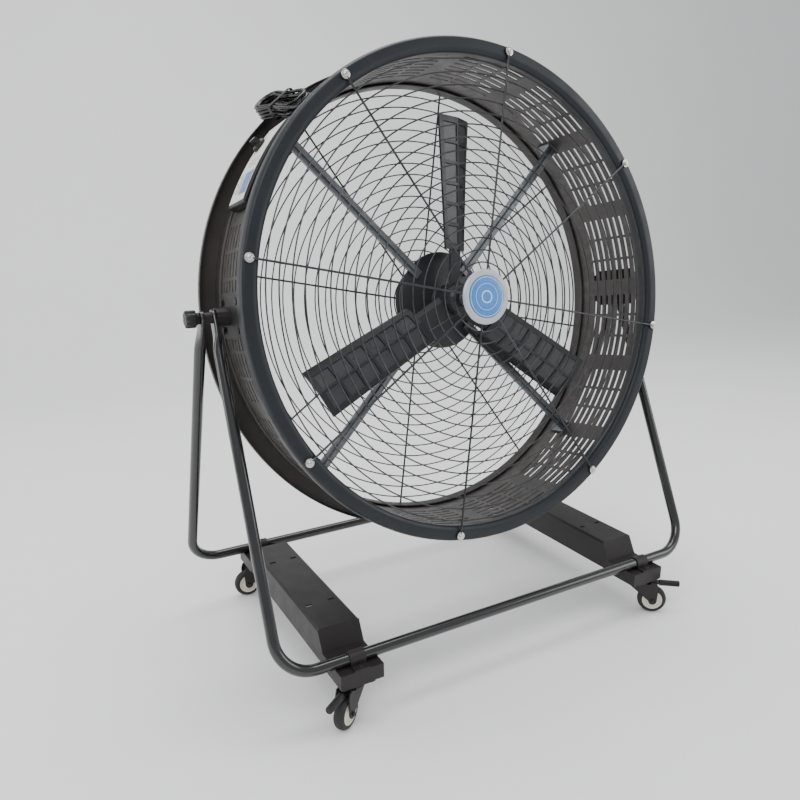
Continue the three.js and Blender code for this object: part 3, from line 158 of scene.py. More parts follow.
MM = 0.001
GAP = 0.0003  # clearance between pieces that touch or turn
TINY = 1e-9
PIVOT_HEIGHT = 0.840
REST_TILT = math.radians(8)
FRONT_TO_PIVOT = 0.160
DRUM_DEPTH = 0.288
SHELL_RADIUS = 0.552
FRONT_RING_RADIUS = 0.575
REAR_RING_RADIUS = 0.592
OPENING_RADIUS = 0.538
RING_SKIRT = 0.030
RING_SIDES = 192
BOLT_CIRCLE = 0.561
BOLT_START = 33.75
TUBE_RADIUS = 0.0125
FRONT_TUBE_HALF_WIDTH = 0.590
REAR_TUBE_HALF_WIDTH = 0.6155
FRAME_HALF_DEPTH = 0.306
FRAME_HEIGHT = 0.144
TUBE_BEND_RADIUS = 0.080
# Place, which way the wheel trails in degrees, and whether it has a brake.
CASTERS = {
    "front_left": (-0.430, -0.308, 215, True),
    "front_right": (0.430, -0.308, 320, True),
    "rear_left": (-0.430, 0.308, 178, False),
    "rear_right": (0.430, 0.308, 40, False),
}
CASTER_TRAIL = 0.034
WHEEL_RADIUS = 0.0375

TO_DRUM = (
    Matrix.Translation((0, 0, PIVOT_HEIGHT))
    @ Matrix.Rotation(-REST_TILT, 4, "X")
    @ Matrix.Translation((0, -FRONT_TO_PIVOT, 0))
)
TO_DRUM_REAR = TO_DRUM @ Matrix.Translation((0, DRUM_DEPTH, 0)) @ Matrix.Rotation(math.pi, 4, "X")


# ---- camera, floor and light

CAMERA_PLACE = (-0.9895, -1.5094, 1.0512)
CAMERA_RIGHT = (0.86962, -0.49367, -0.00697)
CAMERA_BACK = (-0.47612, -0.84227, 0.25278)
CAMERA_LENS = 32.15
CAMERA_CLIP = (0.05, 60)
SENSOR_WIDTH = 36
FLOOR_HALF = 9.0
FLOOR_BEND = 1.6
FLOOR_BEND_STEPS = 10
BACKDROP_DISTANCE = 4.5
BACKDROP_HEIGHT = 6.0
SKY_COLOR = (0.86, 0.88, 0.9, 1)
SKY_STRENGTH = 0.7
# Name, place, what it points at, size and power in watts.
LIGHTS = (
    ("key", (-2.2, -2.9, 3.9), (0, 0, 0.6), (2.8, 2.2), 90),
    ("fill", (3.4, -2.2, 2.2), (0, 0, 0.5), (2.4, 2.2), 52),
    ("top", (0.2, 0.6, 4.4), (0, 0, 0.2), (3.6, 2.8), 135),
    ("rim", (-3.4, 1.4, 1.6), (0, 0, 0.7), (1.4, 2.4), 34),
)


def make_camera():
    """The photograph's viewpoint: a normal lens, a little above the middle of the drum, front left."""
    data = bpy.data.cameras.new("camera")
    data.sensor_width = SENSOR_WIDTH
    data.lens = CAMERA_LENS
    data.clip_start, data.clip_end = CAMERA_CLIP
    camera = bpy.data.objects.new("camera", data)
    bpy.context.scene.collection.objects.link(camera)
    right = Vector(CAMERA_RIGHT).normalized()
    back = Vector(CAMERA_BACK).normalized()
    up = back.cross(right).normalized()
    right = up.cross(back)
    turn = Matrix((right, up, back)).transposed().to_4x4()
    camera.matrix_world = Matrix.Translation(CAMERA_PLACE) @ turn
    bpy.context.scene.camera = camera


def area_light(name, place, target, size, power):
    data = bpy.data.lights.new(name, "AREA")
    data.shape = "RECTANGLE"
    data.size, data.size_y = size
    data.energy = power
    light = bpy.data.objects.new(name, data)
    aim = (Vector(target) - Vector(place)).to_track_quat("-Z", "Y").to_matrix().to_4x4()
    light.matrix_world = Matrix.Translation(place) @ aim
    bpy.context.scene.collection.objects.link(light)


def make_studio():
    """A floor that curves up into a backdrop, four soft lights and an even sky."""
    mesh = bpy.data.meshes.new("floor")
    rows = [(-FLOOR_HALF, 0.0)]
    for i in range(FLOOR_BEND_STEPS + 1):
        angle = i * math.pi / (2 * FLOOR_BEND_STEPS)
        rows.append((BACKDROP_DISTANCE - FLOOR_BEND + FLOOR_BEND * math.sin(angle),
                     FLOOR_BEND - FLOOR_BEND * math.cos(angle)))
    rows.append((BACKDROP_DISTANCE, BACKDROP_HEIGHT))
    verts = [(x, y, z) for y, z in rows for x in (-FLOOR_HALF, FLOOR_HALF)]
    faces = [(2 * i, 2 * i + 1, 2 * i + 3, 2 * i + 2) for i in range(len(rows) - 1)]
    mesh.from_pydata(verts, [], faces)
    floor = bpy.data.objects.new("floor", mesh)
    bpy.context.scene.collection.objects.link(floor)
    for polygon in mesh.polygons:
        polygon.use_smooth = True
    floor.data.materials.append(FINISH["floor"])
    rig.stage(floor)
    for light in LIGHTS:
        area_light(*light)
    world = bpy.data.worlds.new("studio")
    bpy.context.scene.world = world
    world.use_nodes = True
    sky = world.node_tree.nodes["Background"].inputs
    sky[0].default_value = SKY_COLOR
    sky[1].default_value = SKY_STRENGTH


# ---- finishes

FINISH = {}
NOISE_ROUGHNESS = 0.55
COAT_ROUGHNESS = 0.12
GLOSS_SCALE = 3.3  # gloss varies this much finer than colour
EDGE_RANGE = (0.515, 0.56)
EDGE_GRAIN_RANGE = (0.42, 0.62)
CRYSTAL_SCALE = 95


def shader(name):
    """A new material's node tree and its principled shader."""
    material = bpy.data.materials.new(name)
    material.use_nodes = True
    FINISH[name] = material
    return material.node_tree, material.node_tree.nodes["Principled BSDF"]


def shade(color, amount):
    """The colour made darker or lighter."""
    return [min(1, part * amount) for part in color]


def noise(tree, scale, detail):
    place = tree.nodes.new("ShaderNodeTexCoord").outputs["Object"]
    node = tree.nodes.new("ShaderNodeTexNoise")
    node.inputs["Scale"].default_value = scale
    node.inputs["Detail"].default_value = detail
    node.inputs["Roughness"].default_value = NOISE_ROUGHNESS
    tree.links.new(place, node.inputs["Vector"])
    return node.outputs["Fac"]


def ramp(tree, source, low, high, start=0.3, end=0.7):
    """Source from start to end becomes a colour or a grey from low to high."""
    node = tree.nodes.new("ShaderNodeValToRGB")
    for element, at, value in zip(node.color_ramp.elements, (start, end), (low, high)):
        element.position = at
        element.color = (*value, 1) if hasattr(value, "__len__") else (value, value, value, 1)
    tree.links.new(source, node.inputs["Fac"])
    return node.outputs["Color"]


def mix(tree, factor, a, b, kind="MIX"):
    """Blends two colours, each a socket or a plain value."""
    node = tree.nodes.new("ShaderNodeMix")
    node.data_type = "RGBA"
    node.blend_type = kind
    for socket, value in ((node.inputs[0], factor), (node.inputs[6], a), (node.inputs[7], b)):
        if hasattr(value, "is_linked"):
            tree.links.new(value, socket)
        elif hasattr(value, "__len__"):
            socket.default_value = (*value, 1)
        else:
            socket.default_value = value
    return node.outputs[2]


def bump(tree, principled, height, strength, distance):
    node = tree.nodes.new("ShaderNodeBump")
    node.inputs["Strength"].default_value = strength
    node.inputs["Distance"].default_value = distance
    tree.links.new(height, node.inputs["Height"])
    tree.links.new(node.outputs["Normal"], principled.inputs["Normal"])


def worn_edges(tree, base, edge_color):
    """Base colour with a lighter one showing in patches along sharp edges."""
    geometry = tree.nodes.new("ShaderNodeNewGeometry")
    edge = ramp(tree, geometry.outputs["Pointiness"], 0.0, 1.0, *EDGE_RANGE)
    grain = ramp(tree, noise(tree, 60, 6), 0.0, 1.0, *EDGE_GRAIN_RANGE)
    return mix(tree, mix(tree, 1.0, edge, grain, "MULTIPLY"), base, edge_color)


def finish(name, color, roughness, metallic, spread, scale, grain, relief, relief_size,
           rough_spread=0.12, coat=0.0, edge=None, specular=0.5):
    """Painted, moulded or plated surface: cloudy colour, uneven gloss, fine relief and worn edges."""
    tree, principled = shader(name)
    base = ramp(tree, noise(tree, scale, 6), shade(color, 1 - spread), shade(color, 1 + spread))
    if edge:
        base = worn_edges(tree, base, edge)
    tree.links.new(base, principled.inputs["Base Color"])
    uneven = ramp(tree, noise(tree, scale * GLOSS_SCALE, 5), max(0.02, roughness - rough_spread / 2),
                  min(1, roughness + rough_spread / 2))
    tree.links.new(uneven, principled.inputs["Roughness"])
    principled.inputs["Metallic"].default_value = metallic
    principled.inputs["Coat Weight"].default_value = coat
    principled.inputs["Coat Roughness"].default_value = COAT_ROUGHNESS
    principled.inputs["Specular IOR Level"].default_value = specular
    bump(tree, principled, noise(tree, grain, 3), relief, relief_size)


def galvanised(name, color, roughness):
    """Zinc coat with faint crystal patches."""
    tree, principled = shader(name)
    place = tree.nodes.new("ShaderNodeTexCoord").outputs["Object"]
    cells = tree.nodes.new("ShaderNodeTexVoronoi")
    cells.inputs["Scale"].default_value = CRYSTAL_SCALE
    tree.links.new(place, cells.inputs["Vector"])
    patch = tree.nodes.new("ShaderNodeSeparateColor")
    tree.links.new(cells.outputs["Color"], patch.inputs["Color"])
    tone = ramp(tree, patch.outputs[0], shade(color, 0.8), shade(color, 1.15), 0, 1)
    cloud = ramp(tree, noise(tree, 14, 5), shade(color, 0.7), color)
    tree.links.new(mix(tree, 0.35, tone, cloud), principled.inputs["Base Color"])
    uneven = ramp(tree, patch.outputs[1], roughness - 0.07, roughness + 0.1, 0, 1)
    tree.links.new(uneven, principled.inputs["Roughness"])
    principled.inputs["Metallic"].default_value = 0.85
    bump(tree, principled, noise(tree, 700, 3), 0.05, 0.0002)


def make_finishes():
    # Name, colour, roughness, metallic, colour spread and scale, grain, relief and its size, then
    # where they differ from the usual: gloss spread, coat, colour of worn edges, specular level.
    finish("gloss_black", (0.012, 0.012, 0.013), 0.2, 0.0, 0.25, 12, 500, 0.05, 0.0003, 0.1, 0.5,
           (0.05, 0.05, 0.05))
    finish("rail_satin", (0.02, 0.017, 0.017), 0.46, 0.1, 0.12, 7, 650, 0.16, 0.0004, 0.1, 0.0, None, 0.35)
    finish("ring_plastic", (0.008, 0.011, 0.015), 0.44, 0.0, 0.16, 6, 420, 0.22, 0.0004, 0.12, 0.0,
           (0.02, 0.024, 0.03), 0.4)
    finish("shell_plastic", (0.036, 0.031, 0.029), 0.43, 0.0, 0.22, 7, 420, 0.22, 0.0004, 0.14, 0.05,
           (0.06, 0.053, 0.05))
    finish("wire_dark", (0.055, 0.058, 0.062), 0.34, 0.8, 0.3, 30, 700, 0.05, 0.0002, 0.14)
    finish("zinc_bolt", (0.62, 0.62, 0.6), 0.26, 0.95, 0.14, 60, 900, 0.08, 0.0002, 0.16)
    galvanised("galvanised", (0.19, 0.20, 0.21), 0.36)
    finish("blade_plastic", (0.012, 0.013, 0.015), 0.38, 0.0, 0.2, 12, 500, 0.1, 0.0003, 0.12, 0.05)
    # Pocket floors: the blade's own plastic, smoother, with a lighter colour that is painted reflection
    finish("blade_recess", (0.04, 0.042, 0.046), 0.3, 0.0, 0.16, 12, 500, 0.06, 0.0003, 0.1)
    finish("motor_paint", (0.03, 0.032, 0.035), 0.42, 0.3, 0.16, 16, 420, 0.28, 0.0005, 0.12)
    finish("black_plastic", (0.007, 0.007, 0.007), 0.4, 0.0, 0.3, 30, 700, 0.2, 0.0003, 0.14, 0.0, None, 0.4)
    finish("tyre_rubber", (0.014, 0.014, 0.014), 0.68, 0.0, 0.3, 40, 900, 0.35, 0.0004, 0.12)
    finish("rim_cream", (0.70, 0.66, 0.57), 0.4, 0.0, 0.06, 40, 700, 0.08, 0.0003)
    finish("panel_white", (0.74, 0.75, 0.71), 0.42, 0.0, 0.05, 20, 700, 0.05, 0.0002)
    finish("panel_blue", (0.10, 0.19, 0.42), 0.4, 0.0, 0.12, 24, 700, 0.05, 0.0002)
    finish("panel_grey", (0.30, 0.32, 0.33), 0.45, 0.0, 0.08, 24, 700, 0.05, 0.0002)
    finish("badge_grey", (0.50, 0.53, 0.56), 0.34, 0.3, 0.06, 30, 700, 0.05, 0.0002, 0.1, 0.3)
    finish("badge_blue", (0.05, 0.22, 0.60), 0.28, 0.0, 0.12, 26, 700, 0.05, 0.0002, 0.1, 0.5)
    finish("badge_light", (0.55, 0.72, 0.88), 0.34, 0.0, 0.06, 26, 700, 0.05, 0.0002)
    finish("cord_rubber", (0.005, 0.005, 0.005), 0.26, 0.0, 0.3, 60, 900, 0.1, 0.0002, 0.1)
    finish("floor", (0.94, 0.94, 0.935), 0.6, 0.0, 0.015, 1.5, 90, 0.02, 0.0005)


# ---- mesh helpers

MERGE_DISTANCE = 1e-6
BEVEL_SEGMENTS = 2
CORNER_SHARE = 0.45  # a rounded corner takes at most this much of a side


def add(name, verts, faces, finish_name, body, replaced=(), matrix=None, bevel=0.0, smooth=35):
    """A new piece from points and faces, shaded smooth up to an angle, riding on a body."""
    mesh = bpy.data.meshes.new(name)
    mesh.from_pydata([tuple(v) for v in verts], [], faces)
    if matrix is not None:
        mesh.transform(matrix)
    mesh.validate()
    piece = bpy.data.objects.new(name, mesh)
    bpy.context.scene.collection.objects.link(piece)
    mesh.materials.append(FINISH[finish_name])
    tidy(piece, bevel, smooth)
    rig.ride(piece, body)
    if replaced:
        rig.replaces(piece, *replaced)
    return piece


def tidy(piece, bevel, smooth):
    """Merges doubled points, turns faces outward and shades smooth up to an angle."""
    work = bmesh.new()
    work.from_mesh(piece.data)
    bmesh.ops.remove_doubles(work, verts=work.verts, dist=MERGE_DISTANCE)
    bmesh.ops.recalc_face_normals(work, faces=work.faces)
    work.to_mesh(piece.data)
    work.free()
    if bevel:
        soften(piece, bevel)
    for polygon in piece.data.polygons:
        polygon.use_smooth = True
    piece.data.set_sharp_from_angle(angle=math.radians(smooth))


def soften(piece, width, angle=32):
    modifier = piece.modifiers.new("soft_edges", "BEVEL")
    modifier.width = width
    modifier.segments = BEVEL_SEGMENTS
    modifier.limit_method = "ANGLE"
    modifier.angle_limit = math.radians(angle)
    modifier.harden_normals = False


class Parts:
    """Points and faces of one piece, gathered from several simple forms."""

    def __init__(self):
        self.verts = []
        self.faces = []

    def include(self, verts, faces, matrix=None):
        start = len(self.verts)
        self.verts += [matrix @ Vector(v) if matrix else Vector(v) for v in verts]
        self.faces += [tuple(start + i for i in face) for face in faces]
        return self

    def __iter__(self):
        return iter((self.verts, self.faces))


def lathe(profile, sides):
    """A revolve about local Y of a closed outline of [radius, along] points, which may touch the axis."""
    verts = []
    for i in range(sides):
        angle = 2 * math.pi * i / sides
        verts += [(r * math.cos(angle), along, r * math.sin(angle)) for r, along in profile]
    count = len(profile)
    faces = []
    for i in range(sides):
        here, there = i * count, (i + 1) % sides * count
        for j in range(count):
            k = (j + 1) % count
            if profile[j][0] < TINY and profile[k][0] < TINY:
                continue
            faces.append((here + j, here + k, there + k, there + j))
    return verts, faces


def rounded(outline, radius, steps=3):
    """The outline with its corners rounded, except on the axis; a third number is a corner's own radius."""
    result = []
    for i, point in enumerate(outline):
        here = Vector(point[:2])
        wanted = point[2] if len(point) > 2 else radius
        before = Vector(outline[i - 1][:2]) - here
        after = Vector(outline[(i + 1) % len(outline)][:2]) - here
        reach = min(wanted, before.length * CORNER_SHARE, after.length * CORNER_SHARE)
        if reach < MERGE_DISTANCE or here.x < TINY:
            result.append(tuple(here))
            continue
        start = here + before.normalized() * reach
        end = here + after.normalized() * reach
        for k in range(steps + 1):
            t = k / steps
            result.append(tuple(start * (1 - t) ** 2 + here * 2 * t * (1 - t) + end * t * t))
    return result


def frames_along(points, first_side, closed):
    """A side and an up direction at each point, carried along with no twist."""
    count = len(points)
    tangents = []
    for i in range(count):
        if closed:
            step = points[(i + 1) % count] - points[i - 1]
        else:
            step = points[min(i + 1, count - 1)] - points[max(i - 1, 0)]
        tangents.append(step.normalized())
    side = first_side or tangents[0].orthogonal()
    result = []
    for tangent in tangents:
        side = (side - tangent * side.dot(tangent)).normalized()
        result.append((side, tangent.cross(side)))
    return result


def tube(points, radius=0.0, sides=12, closed=False, section=None, first_side=None):
    """A tube along points; section(i) may give its own list of (across, up) places."""
    points = [Vector(p) for p in points]
    angles = [2 * math.pi * k / sides for k in range(sides)]
    round_places = [(radius * math.cos(angle), radius * math.sin(angle)) for angle in angles]
    verts = []
    for i, (side, up) in enumerate(frames_along(points, first_side, closed)):
        places = section(i) if section else round_places
        verts += [points[i] + side * a + up * b for a, b in places]
    count = len(verts) // len(points)
    faces = []
    for i in range(len(points) if closed else len(points) - 1):
        here, there = i * count, (i + 1) % len(points) * count
        for k in range(count):
            m = (k + 1) % count
            faces.append((here + k, here + m, there + m, there + k))
    if not closed:
        faces.append(tuple(range(count - 1, -1, -1)))
        faces.append(tuple(range(len(verts) - count, len(verts))))
    return verts, faces


def prism(outline, low, high, axis="Z"):
    """A flat outline thickened from low to high along an axis."""
    def place(a, b, c):
        return {"Z": (a, b, c), "X": (c, a, b), "Y": (a, c, b)}[axis]

    count = len(outline)
    verts = [place(a, b, low) for a, b in outline] + [place(a, b, high) for a, b in outline]
    faces = [(i, (i + 1) % count, count + (i + 1) % count, count + i) for i in range(count)]
    faces += [tuple(range(count - 1, -1, -1)), tuple(range(count, 2 * count))]
    return verts, faces


def block(width, depth, height, centre=(0, 0, 0)):
    x, y, z = centre
    outline = [(x - width / 2, y - depth / 2), (x + width / 2, y - depth / 2),
               (x + width / 2, y + depth / 2), (x - width / 2, y + depth / 2)]
    return prism(outline, z - height / 2, z + height / 2)


def on_drum(radius, degrees, depth):
    """A place by distance from the drum's axis, angle from its +X side and depth behind its front."""
    angle = math.radians(degrees)
    return Vector((radius * math.cos(angle), depth, radius * math.sin(angle)))


def turned(degrees):
    """Turns what is drawn at the +X side of the drum round to an angle."""
    return Matrix.Rotation(-math.radians(degrees), 4, "Y")


def dress(node, finish_name, bevel, angle=32):
    """Gives a CAD node that stays its finish and softened edges."""
    piece = frame["nodes"][node]
    for slot in piece.material_slots:
        slot.material = FINISH[finish_name]
    if not piece.material_slots:
        piece.data.materials.append(FINISH[finish_name])
    soften(piece, bevel, angle)


# ---- mains cord

CORD_RADIUS = 0.0035
CORD_EXIT_DEPTH = 0.090
BOX_START = 135.5
BOX_HEIGHT = 0.019
GLAND_LENGTH = 0.024
GLAND_RIBS = 5
HANK_ANGLE = 129.375
HANK_FRONT = 0.104
HANK_LAYERS = 4
HANK_TURNS_PER_LAYER = 2
HANK_FOLD_RADIUS = 0.021
HANK_HALF_RUN = 0.055
HANK_STEP = 0.0081
HANK_WAIST_DRAW = 0.006
HANK_STEPS = 24
TIE_WIDTH = 0.012
PLUG_RADIUS = 0.011
PLUG_LENGTH = 0.038
PLUG_RIBS = 5
PIN_LENGTH = 0.015
WALL_SIDES = 32
WALL_FLAT = SHELL_RADIUS * math.cos(math.pi / WALL_SIDES)
WALL_OUTWARD = on_drum(1, HANK_ANGLE, 0)
WALL_UPWARD = on_drum(1, HANK_ANGLE - 90, 0)
HANK_SLOPE = math.atan2(REAR_RING_RADIUS - WALL_FLAT, DRUM_DEPTH - RING_SKIRT - HANK_FRONT)
HANK_OUTER_FOLD = HANK_FOLD_RADIUS + HANK_TURNS_PER_LAYER * HANK_STEP
HANK_MIDDLE = CORD_RADIUS + HANK_OUTER_FOLD + HANK_HALF_RUN
HANK_LEFT_OPEN = 0.25  # the last part of a turn, left out where the tail begins
# Lead and tail in mm: depth behind the drum's front, distance across and height over the wall.
LEAD_START = 7
LEAD_ROUTE = ((90, -17, 9), (90.5, -5, 5.8), (92.5, 7, 4.4), (97, 18, 4.3),
              (104, 27, 5), (113, 33.5, 7.2), (123.5, 36.8, 10))
PLUG_SEAT = (61.5, 10, 11.6)
TAIL_ROUTE = ((108, -35.5, 30), (95, -34.5, 25.5), (83, -31.5, 21), (73, -25.5, 17),
              (66, -17, 14.2), (62.5, -7, 12.5), (61.5, 3, 11.6), PLUG_SEAT)


def over_wall(depth, across, height):
    """A place over the flat of the wall that the hank lies on."""
    return WALL_OUTWARD * (WALL_FLAT + height) + Vector((0, depth, 0)) + WALL_UPWARD * across


def over_wall_mm(place):
    return over_wall(*(MM * part for part in place))


def on_hank(along, across, up):
    """A place in the hank, which leans from the wall up to the rear rim."""
    reach = HANK_MIDDLE + along
    depth = HANK_FRONT + reach * math.cos(HANK_SLOPE) - up * math.sin(HANK_SLOPE)
    return over_wall(depth, across, 2 * GAP + reach * math.sin(HANK_SLOPE) + up * math.cos(HANK_SLOPE))


def hank_point(turns):
    """Centre line of the hank after some number of turns, in layers that wind in and out."""
    layer = min(int(turns / HANK_TURNS_PER_LAYER), HANK_LAYERS - 1)
    past = turns - layer * HANK_TURNS_PER_LAYER
    moved = past if layer == 0 else min(past, max(0, 2 * past - 0.5))
    inset = HANK_TURNS_PER_LAYER - moved if layer % 2 == 0 else moved
    level = 0 if layer == 0 else layer - 1 + min(4 * past, 1)
    fold = HANK_FOLD_RADIUS + inset * HANK_STEP
    quarter = int(4 * turns) % 4
    share = 4 * turns - int(4 * turns)
    way = 1 if quarter < 2 else -1
    along, across = way * HANK_HALF_RUN, way * fold
    if quarter % 2 == 0:
        along *= 2 * share - 1
        across -= way * HANK_WAIST_DRAW * math.sin(math.pi * share) ** 2
    else:
        along += way * fold * math.sin(math.pi * share)
        across *= math.cos(math.pi * share)
    return on_hank(along, across, CORD_RADIUS + level * HANK_STEP)


def cord_exit():
    """Where the cord's gland leaves the switch box, and which way it points."""
    exit_point = on_drum(SHELL_RADIUS + BOX_HEIGHT / 2 + GAP, BOX_START, CORD_EXIT_DEPTH)
    direction = on_drum(1, BOX_START - 90, 0)
    return exit_point + direction * GAP, direction


def cord_route():
    """From the gland along the wall, through the hank and back over the lead to the plug."""
    exit_point, direction = cord_exit()
    start = exit_point + direction * (GLAND_LENGTH + GAP)
    lead = [start, start + direction * LEAD_START * MM] + [over_wall_mm(place) for place in LEAD_ROUTE]
    turns = HANK_LAYERS * HANK_TURNS_PER_LAYER - HANK_LEFT_OPEN
    count = round(turns * HANK_STEPS)
    hank = [hank_point(min(turns * i / count, turns - TINY)) for i in range(count + 1)]
    tail = [over_wall_mm(place) for place in TAIL_ROUTE]
    return [TO_DRUM @ point for point in lead + hank + tail]


def route_length(points):
    return sum((b - a).length for a, b in zip(points, points[1:]))


def pointed(place, direction):
    """Lays what is drawn pointing along +Y at a place on the drum, pointed along a direction."""
    turn = Vector((0, 1, 0)).rotation_difference(direction).to_matrix().to_4x4()
    return TO_DRUM @ Matrix.Translation(place) @ turn


def make_gland():
    """Ribbed sleeve that tapers along the cord where it leaves the switch box."""
    profile = [(0, 0), (0.0085, 0), (0.0085, 0.005), (0.006, 0.007)]
    for i in range(GLAND_RIBS):
        at = 0.0085 + i * 0.0032
        radius = 0.0058 - i * 0.0003
        groove = radius - 0.0009
        profile += [(radius, at), (radius, at + 0.0018), (groove, at + 0.002), (groove, at + 0.003)]
    profile += [(0.0044, GLAND_LENGTH), (0, GLAND_LENGTH)]
    return add("strain_relief", *lathe(profile, 28), "black_plastic", "drum", ["cord_gland"],
               pointed(*cord_exit()))


def make_plug():
    """Moulded plug with a ribbed grip, two flat pins and a round one."""
    body = [(0, 0), (0.0055, 0), (0.0062, 0.010), (PLUG_RADIUS - 0.0005, 0.015),
            (PLUG_RADIUS - 0.0002, PLUG_LENGTH - 0.002), (PLUG_RADIUS - 0.001, PLUG_LENGTH), (0, PLUG_LENGTH)]
    whole = Parts().include(*lathe(rounded(body, 0.002), 28))
    middle = PLUG_LENGTH + PIN_LENGTH / 2 - 0.001
    for way in (-1, 1):
        whole.include(*block(0.0016, PIN_LENGTH + 0.002, 0.006, (way * 0.0055, middle, -0.003)))
    round_pin = [(0, PLUG_LENGTH + along, 0.006) for along in (-0.001, 0.012, 0.0175)]
    whole.include(*tube(round_pin, 0.0022, 14))
    groove = PLUG_RADIUS - 0.0012
    for i in range(PLUG_RIBS):
        at = 0.019 + i * 0.0034
        rib = [(groove, at), (PLUG_RADIUS, at), (PLUG_RADIUS, at + 0.0018), (groove, at + 0.0018)]
        whole.include(*lathe(rounded(rib, 0.0004, 2), 28))
    return add("mains_plug", *whole, "black_plastic", "drum", ["power_plug"],
               pointed(over_wall_mm(PLUG_SEAT) + WALL_UPWARD * GAP, WALL_UPWARD))


def make_cord():
    gland = make_gland()
    plug = make_plug()
    tie = make_tie()
    route = cord_route()
    curve = bpy.data.curves.new("mains_cord", "CURVE")
    curve.dimensions = "3D"
    spline = curve.splines.new("POLY")
    spline.points.add(len(route) - 1)
    for point, place in zip(spline.points, route):
        point.co = (*place, 1)
    curve.bevel_depth = CORD_RADIUS
    curve.bevel_resolution = 4
    curve.use_fill_caps = True
    cord = bpy.data.objects.new("mains_cord", curve)
    bpy.context.scene.collection.objects.link(cord)
    curve.materials.append(FINISH["cord_rubber"])
    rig.ride(cord, "drum")
    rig.replaces(cord, "power_cord_lead", "power_cord_hank", "power_cord_tail")
    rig.cord(cord, exit=route[0], length=route_length(route), diameter=2 * CORD_RADIUS,
            far_end="plug", stiffness="medium", lay="coiled", with_pieces=[plug, gland, tie])


def make_tie():
    """A flat band round the waist of the hank."""
    play, thickness = 0.0006, 0.0013
    off_axis = 1  # rounding leaves what lies on the axis, so it is done to one side of it
    side = HANK_OUTER_FOLD - HANK_WAIST_DRAW + CORD_RADIUS + play
    top = (HANK_LAYERS - 1) * HANK_STEP + 2 * CORD_RADIUS + play
    corners = [(-side, -play), (side, -play), (side, top), (-side, top)]
    inner = rounded([(a + off_axis, b) for a, b in corners], 0.005, 4)
    outer = rounded([(a + off_axis + math.copysign(thickness, a), b + math.copysign(thickness, b))
                     for a, b in corners], 0.006, 4)
    verts = []
    for offset in (-TIE_WIDTH / 2, TIE_WIDTH / 2):
        for outline in (inner, outer):
            verts += [TO_DRUM @ on_hank(offset, a - off_axis, b) for a, b in outline]
    n = len(inner)
    faces = []
    for i in range(n):
        j = (i + 1) % n
        faces += [(i, j, n + j, n + i), (2 * n + i, 3 * n + i, 3 * n + j, 2 * n + j),
                  (i, 2 * n + i, 2 * n + j, j), (n + i, n + j, 3 * n + j, 3 * n + i)]
    return add("cord_band", verts, faces, "black_plastic", "drum", ["cord_tie"], bevel=0.0004)


# ---- stand

TUBE_SIDES = 28
BEND_STEPS = 14
TAB = 0.050  # flattened end of a tube, below the pivot
CAP = 0.017  # and above it
TAB_HALF = 0.004
TAB_SQUARENESS = 1.6
# Along the tube from the pivot, half width and half thickness.
TUBE_END = (
    (CAP - 0.0002, 0.003, TAB_HALF), (CAP - 0.002, 0.0082, TAB_HALF), (CAP - 0.006, 0.0128, TAB_HALF),
    (0.006, 0.0159, TAB_HALF), (0, 0.0168, TAB_HALF), (-TAB * 0.55, 0.0168, TAB_HALF),
    (-TAB * 0.8, 0.0165, 0.0046), (-TAB, 0.0155, 0.0066), (-TAB * 1.25, 0.0138, 0.0102),
    (-TAB * 1.5, TUBE_RADIUS, TUBE_RADIUS),
)


def bent(corners, radius, steps):
    """A polyline with its inner corners rounded."""
    points = [corners[0]]
    for before, here, after in zip(corners, corners[1:], corners[2:]):
        inward = (before - here).normalized()
        outward = (after - here).normalized()
        half = inward.angle(outward) / 2
        centre = here + (inward + outward).normalized() * (radius / math.sin(half))
        start = here + inward * (radius / math.tan(half)) - centre
        axis = outward.cross(inward).normalized()
        for k in range(steps + 1):
            turn = Matrix.Rotation((math.pi - 2 * half) * k / steps, 3, axis)
            points.append(turn @ start + centre)
    return points + [corners[-1]]


def flattened(width, thickness, power):
    """A round section pressed flat: power 1 is an ellipse and higher is squarer."""
    places = []
    for k in range(TUBE_SIDES):
        angle = 2 * math.pi * k / TUBE_SIDES
        a, b = math.cos(angle), math.sin(angle)
        places.append((math.copysign(abs(a) ** (1 / power), a) * thickness,
                       math.copysign(abs(b) ** (1 / power), b) * width))
    return places


def frame_tube(name, half_width, end):
    """Bent tube whose ends are pressed flat and rounded over the pivot."""
    leg = Vector((0, -end * FRAME_HALF_DEPTH, PIVOT_HEIGHT - FRAME_HEIGHT)).normalized()

    def end_spots(side):
        pivot = Vector((side * half_width, 0, PIVOT_HEIGHT))
        return [(pivot + leg * along, width, thick) for along, width, thick in TUBE_END]

    left, right = end_spots(-1), end_spots(1)[::-1]
    corners = [left[-1][0], Vector((-half_width, end * FRAME_HALF_DEPTH, FRAME_HEIGHT)),
               Vector((half_width, end * FRAME_HALF_DEPTH, FRAME_HEIGHT)), right[0][0]]
    middle = bent(corners, TUBE_BEND_RADIUS, BEND_STEPS)[1:-1]
    spots = left + [(place, TUBE_RADIUS, TUBE_RADIUS) for place in middle] + right

    def section(i):
        width, thick = spots[i][1:]
        flatness = 1 - (thick - TAB_HALF) / (TUBE_RADIUS - TAB_HALF)
        return flattened(width, thick, 1 + TAB_SQUARENESS * flatness)

    verts, faces = tube([spot[0] for spot in spots], section=section, first_side=Vector((1, 0, 0)))
    add(f"{name}_tube", verts, faces, "gloss_black", "stand", [f"{name}_frame_tube"], smooth=50)


